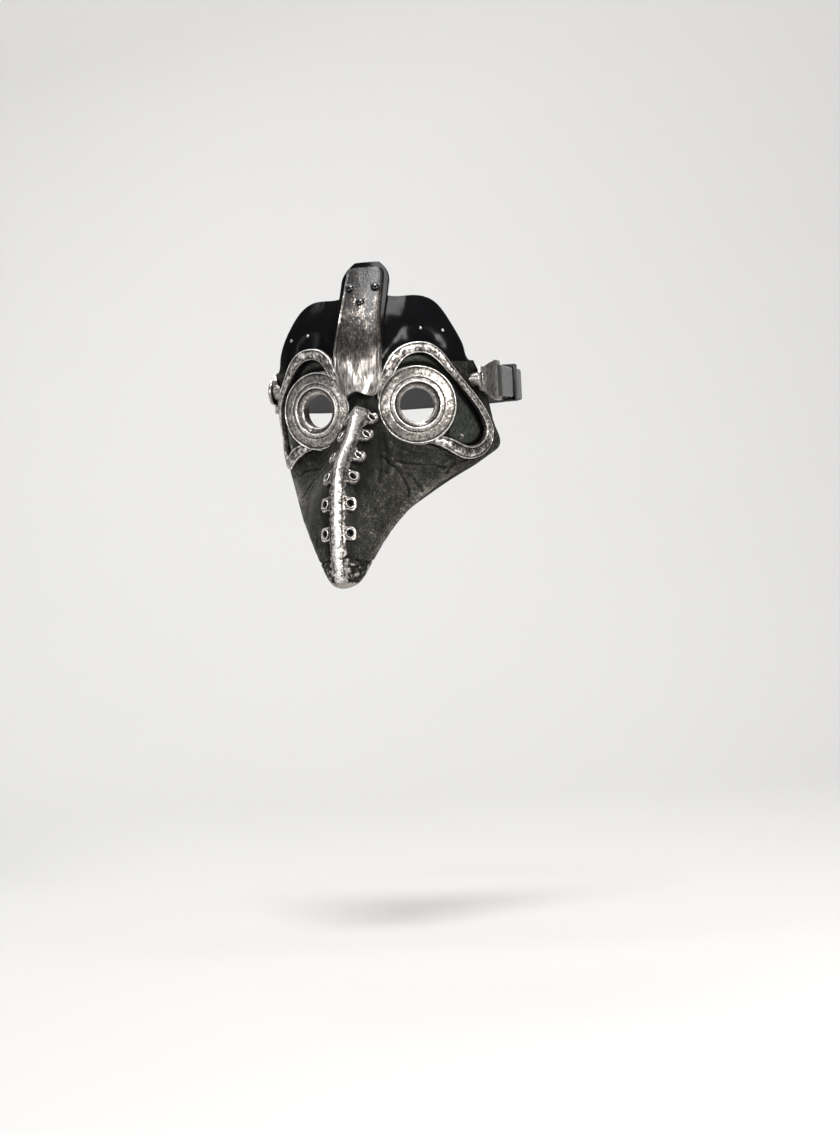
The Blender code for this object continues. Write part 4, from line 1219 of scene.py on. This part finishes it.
def head_strap():
    """The elastic: a thin ribbed band with rounded edges, folded round both hangers."""
    path = strap_path()
    steps = np.linalg.norm(np.diff(path, axis=0), axis=1)
    length = np.concatenate([[0], np.cumsum(steps)])
    runs = np.gradient(path, axis=0)
    runs /= np.linalg.norm(runs, axis=1)[:, None]
    side_way = np.stack([runs[:, 1], -runs[:, 0]], 1)
    across = np.linspace(-BAND_W / 2, BAND_W / 2, 37)
    thick = BAND_T / 2 * np.sqrt(np.clip(1 - (np.abs(across) / (BAND_W / 2)) ** 14, 0.04, 1)) * 0.92
    section = np.concatenate([np.stack([thick, across], 1), np.stack([-thick, across], 1)[::-1]])
    loops = np.empty((len(path), len(section), 3))
    loops[..., :2] = path[:, None] + side_way[:, None] * section[None, :, :1]
    loops[..., 2] = PIVOT.z + section[None, :, 1] * (1 + 0.006 * np.sin(length / 9))[:, None]
    flow = np.zeros(loops.shape)
    flow[..., 0] = length[:, None]
    flow[..., 1] = section[None, :, 1]
    obj = shell_object("head_strap_elastic", loops, 1, np.full(loops.shape[:2], 0.5), flow)
    finish_piece(obj, MAT["elastic"], "head_strap", ["head_strap"], 70)
    return float(length[-1])


def hanger_half_height(y):
    if y < PIVOT.y:
        return math.sqrt(max(0.0, 64 - (PIVOT.y - y) ** 2))
    if y > HANGER_BAR_Y[1] - 1.6:
        return HANGER_HALF_H - 1.5 * smooth(HANGER_BAR_Y[1] - 1.6, HANGER_BAR_Y[1], y)
    return float(np.interp(y, (PIVOT.y + 5, HANGER_SLOT_Y - 5), (8.0, HANGER_HALF_H)))


def hanger(side_name):
    side = SIDES[side_name]
    nose = PIVOT.y - 7.98 * np.cos(np.linspace(0, math.pi / 2, 16))
    ys = np.concatenate([nose, np.linspace(26, 56, 40), np.linspace(56.6, HANGER_BAR_Y[1], 8)])
    line_y, line_x = zip(*HANGER_LINE)
    outer, inner = [], []
    for y in ys:
        x = float(np.mean([np.interp(y + d, line_y, line_x) for d in (-3, -1.5, 0, 1.5, 3)]))
        half = hanger_half_height(y)
        zs = np.linspace(PIVOT.z - half, PIVOT.z + half, 25)
        outer.append([(x + HANGER_T / 2, y, z) for z in zs])
        inner.append([(x - HANGER_T / 2, y, z) for z in zs])
    loops = np.concatenate([np.array(outer), np.array(inner)[:, ::-1]], 1)
    obj = shell_object(
        f"strap_hanger_{side_name}_plate", loops, side, np.full(loops.shape[:2], 0.5), np.zeros(loops.shape)
    )
    slot_half = BAND_W / 2 + 0.35
    slot = rectangle(HANGER_SLOT_Y, PIVOT.z - slot_half, HANGER_BAR_Y[0], PIVOT.z + slot_half)
    boolean(
        obj,
        (
            (prism(slot, (STRAP_X, 0, 0), (0, 1, 0), UP, 10, side), "DIFFERENCE"),
            (cylinder(2.2, 20, PIVOT, Vector((1, 0, 0)), side, 40), "DIFFERENCE"),
        ),
    )
    bevel(obj, 0.35, 2, 50)
    finish_piece(obj, MAT["steel"], "head_strap", [f"strap_hanger_{side_name}"], 40)


def temple_fittings(side_name):
    """The boss and washer that follow the leather, and the rivet through them."""
    side = SIDES[side_name]
    x_axis = Vector((1, 0, 0))
    wall_x = on_skin(Vector((130, PIVOT.y, PIVOT.z)), -x_axis, 0).x
    seat = Vector((wall_x, PIVOT.y, PIVOT.z))
    plate_x = PIVOT.x - wall_x - HANGER_T / 2
    patch_stations, patch_guides = np.linspace(2.9, 5.2, 30), np.linspace(2.8, RIM, 24)
    for name, profile, low, high in (
        (
            "temple_boss", ((4.6, -6), (4.6, plate_x - 0.75), (4.2, plate_x - 0.35), (1.0, plate_x - 0.35)),
            -14, 0.25
        ),
        ("temple_washer", ((1.0, -8.6), (4.2, -8.6), (4.6, -8.2), (4.6, 4)), -SHELL_T - 0.25, 14),
    ):
        obj = turned(f"{name}_{side_name}_turned", profile, seat, x_axis, 48, side, closed=False)
        outer = skin(patch_stations[:, None], patch_guides[None, :], high)
        inner = skin(patch_stations[:, None], patch_guides[None, :], low)
        loops = np.concatenate([outer, inner[:, ::-1]], 1)
        patch = shell_object("cutter", loops, side, np.zeros(loops.shape[:2]), np.zeros(loops.shape))
        shaft = cylinder(2.2, 30, seat, x_axis, side, 40)
        boolean(obj, ((patch, "DIFFERENCE"), (shaft, "DIFFERENCE")))
        finish_piece(obj, MAT["steel"], "mask", [f"{name}_{side_name}"], 40)
    head = plate_x + HANGER_T + 0.3
    inside = -8.6 - 0.3
    arc = np.linspace(0, math.pi / 2, 10)[:-1]
    profile = [
        (0.3, inside - 1.2), (3.6, inside - 1.2), (4.2, inside - 0.8), (4.2, inside), (1.9, inside),
        (1.9, head), (4.2, head)
    ]
    profile += [(4.2 * math.cos(a), head + 0.4 + 1.5 * math.sin(a)) for a in arc] + [(0.3, head + 1.9)]
    obj = turned(f"temple_rivet_{side_name}_turned", profile, seat, x_axis, 48, side, closed=False)
    finish_piece(obj, MAT["steel"], "mask", [f"temple_rivet_{side_name}"], 40)


SLIDE_WALL = 1.6
SLIDE_END = 2.35  # from the band's edge to the slide's, its clearance included
SLIDE_HALF_D = 3.5
SLIDE_GAP = 0.35
SLOT_HALF_X = 1.05


def strap_slide():
    """The moulded slide, with a slot for each layer of the band."""
    half_x = LAYER_X + BAND_T / 2 + SLIDE_GAP + SLIDE_WALL
    half_z = BAND_W / 2 + SLIDE_END
    outline = rectangle(-half_x, -half_z, half_x, half_z)
    obj = prism(outline, (STRAP_X, SLIDE_Y, PIVOT.z), (1, 0, 0), UP, SLIDE_HALF_D)
    obj.name = "strap_slide_moulded"
    cutters = []
    for x in (STRAP_X - LAYER_X, STRAP_X + LAYER_X):
        slot = rectangle(
            x - SLOT_HALF_X, PIVOT.z - BAND_W / 2 - SLIDE_GAP,
            x + SLOT_HALF_X, PIVOT.z + BAND_W / 2 + SLIDE_GAP,
        )
        cutters.append((prism(slot, (0, SLIDE_Y, 0), (1, 0, 0), UP, 8), "DIFFERENCE"))
    boolean(obj, cutters)
    bevel(obj, 0.45, 3, 50)
    finish_piece(obj, MAT["slide"], "strap_slide", ["strap_slide"], 35)


# ---- Studio


VIEW_YAW = math.radians(14)
VIEW_ROLL = math.radians(3)
VIEW_DISTANCE = 2000.0
VIEW_HEIGHT = 731.613  # how much the view takes in at the mask
VIEW_CENTRE = (33.548, -102.581)  # the middle of the view, to the right of the frame's origin and above it
SENSOR_HEIGHT = 36.0
FLOOR_Z = -330.0


def camera():
    """The view: from the wearer's left of straight ahead, level, and a little tilted."""
    ahead = Vector((-math.sin(VIEW_YAW), math.cos(VIEW_YAW), 0))
    level = Vector((math.cos(VIEW_YAW), math.sin(VIEW_YAW), 0))
    right = level * math.cos(VIEW_ROLL) - UP * math.sin(VIEW_ROLL)
    up = level * math.sin(VIEW_ROLL) + UP * math.cos(VIEW_ROLL)
    place = -VIEW_DISTANCE * ahead + VIEW_CENTRE[0] * right + VIEW_CENTRE[1] * up
    data = bpy.data.cameras.new("camera")
    data.sensor_fit = "VERTICAL"
    data.sensor_height = SENSOR_HEIGHT
    data.lens = SENSOR_HEIGHT * VIEW_DISTANCE / VIEW_HEIGHT
    data.clip_end = 50.0
    obj = bpy.data.objects.new("camera", data)
    matrix = Matrix((right, up, -ahead)).transposed().to_4x4()
    matrix.translation = place * MM
    obj.matrix_world = matrix
    bpy.context.scene.collection.objects.link(obj)
    bpy.context.scene.camera = obj


def softbox(name, place, target, size, power, colour=(1, 1, 1)):
    data = bpy.data.lights.new(name, "AREA")
    data.shape = "RECTANGLE"
    data.size, data.size_y = size
    data.energy = power
    data.color = colour
    obj = bpy.data.objects.new(name, data)
    obj.location = place
    obj.rotation_euler = (Vector(target) - Vector(place)).to_track_quat("-Z", "Y").to_euler()
    bpy.context.scene.collection.objects.link(obj)


def studio():
    """A pale floor that curves up behind, soft boxes and a dim even sky."""
    rows, cols = [], 2
    for y, z in [(-9.0, 0.0), (1.0, 0.0)] + [
        (1.0 + 1.2 * math.sin(a), 1.2 - 1.2 * math.cos(a)) for a in np.linspace(0, math.pi / 2, 14)[1:]
    ] + [(2.2, 6.0)]:
        rows += [(-9.0, y, z + FLOOR_Z * MM), (9.0, y, z + FLOOR_Z * MM)]
    points = np.array(rows) / MM
    floor = new_object("studio_floor", points, grid_faces(len(rows) // 2, cols))
    floor.rotation_euler = (0, 0, VIEW_YAW)
    floor.data.materials.append(plaster("studio_white", (0.56, 0.555, 0.55, 1.0)))
    floor.data.polygons.foreach_set("use_smooth", [True] * len(floor.data.polygons))
    softbox("key", (1.35, -1.2, 0.6), (0, 0, 0), (0.5, 0.5), 38, (1.0, 0.985, 0.965))
    softbox("front", (-0.50, -2.0, 0.45), (0, 0, -0.02), (0.6, 0.6), 15)
    softbox("over", (0.0, -0.35, 1.35), (0, -0.05, 0), (0.5, 0.35), 15)
    softbox("edge", (-1.5, -0.7, 0.1), (0, 0, -0.02), (0.25, 1.2), 4, (0.96, 0.98, 1.0))
    softbox("inside", (-0.7, 1.5, 1.3), (0, 0, 0), (0.6, 0.6), 10)
    softbox("backdrop", (-0.3, 0.6, 1.9), (-0.5, 2.2, 0.2), (2.4, 1.2), 36)
    world = bpy.data.worlds.new("studio_world")
    world.use_nodes = True
    world.node_tree.nodes["Background"].inputs["Color"].default_value = (0.80, 0.82, 0.85, 1)
    world.node_tree.nodes["Background"].inputs["Strength"].default_value = 0.16
    bpy.context.scene.world = world
    bpy.context.scene.view_settings.view_transform = "Standard"


def main():
    for side_name in SIDES:
        face_panel(side_name)
        brow_panel(side_name)
        goggle_pad(side_name)
        eye_rings(side_name)
        goggle_frame(side_name)
        for number, (height, width) in enumerate(zip(TAB_HEIGHTS, TAB_WIDTHS), 1):
            lace_tab(side_name, number, height, width)
        temple_fittings(side_name)
        hanger(side_name)
    plate()
    backing()
    rivets_and_studs()
    spine()
    tip_cap()
    head_strap()
    strap_slide()
    camera()
    studio()


main()
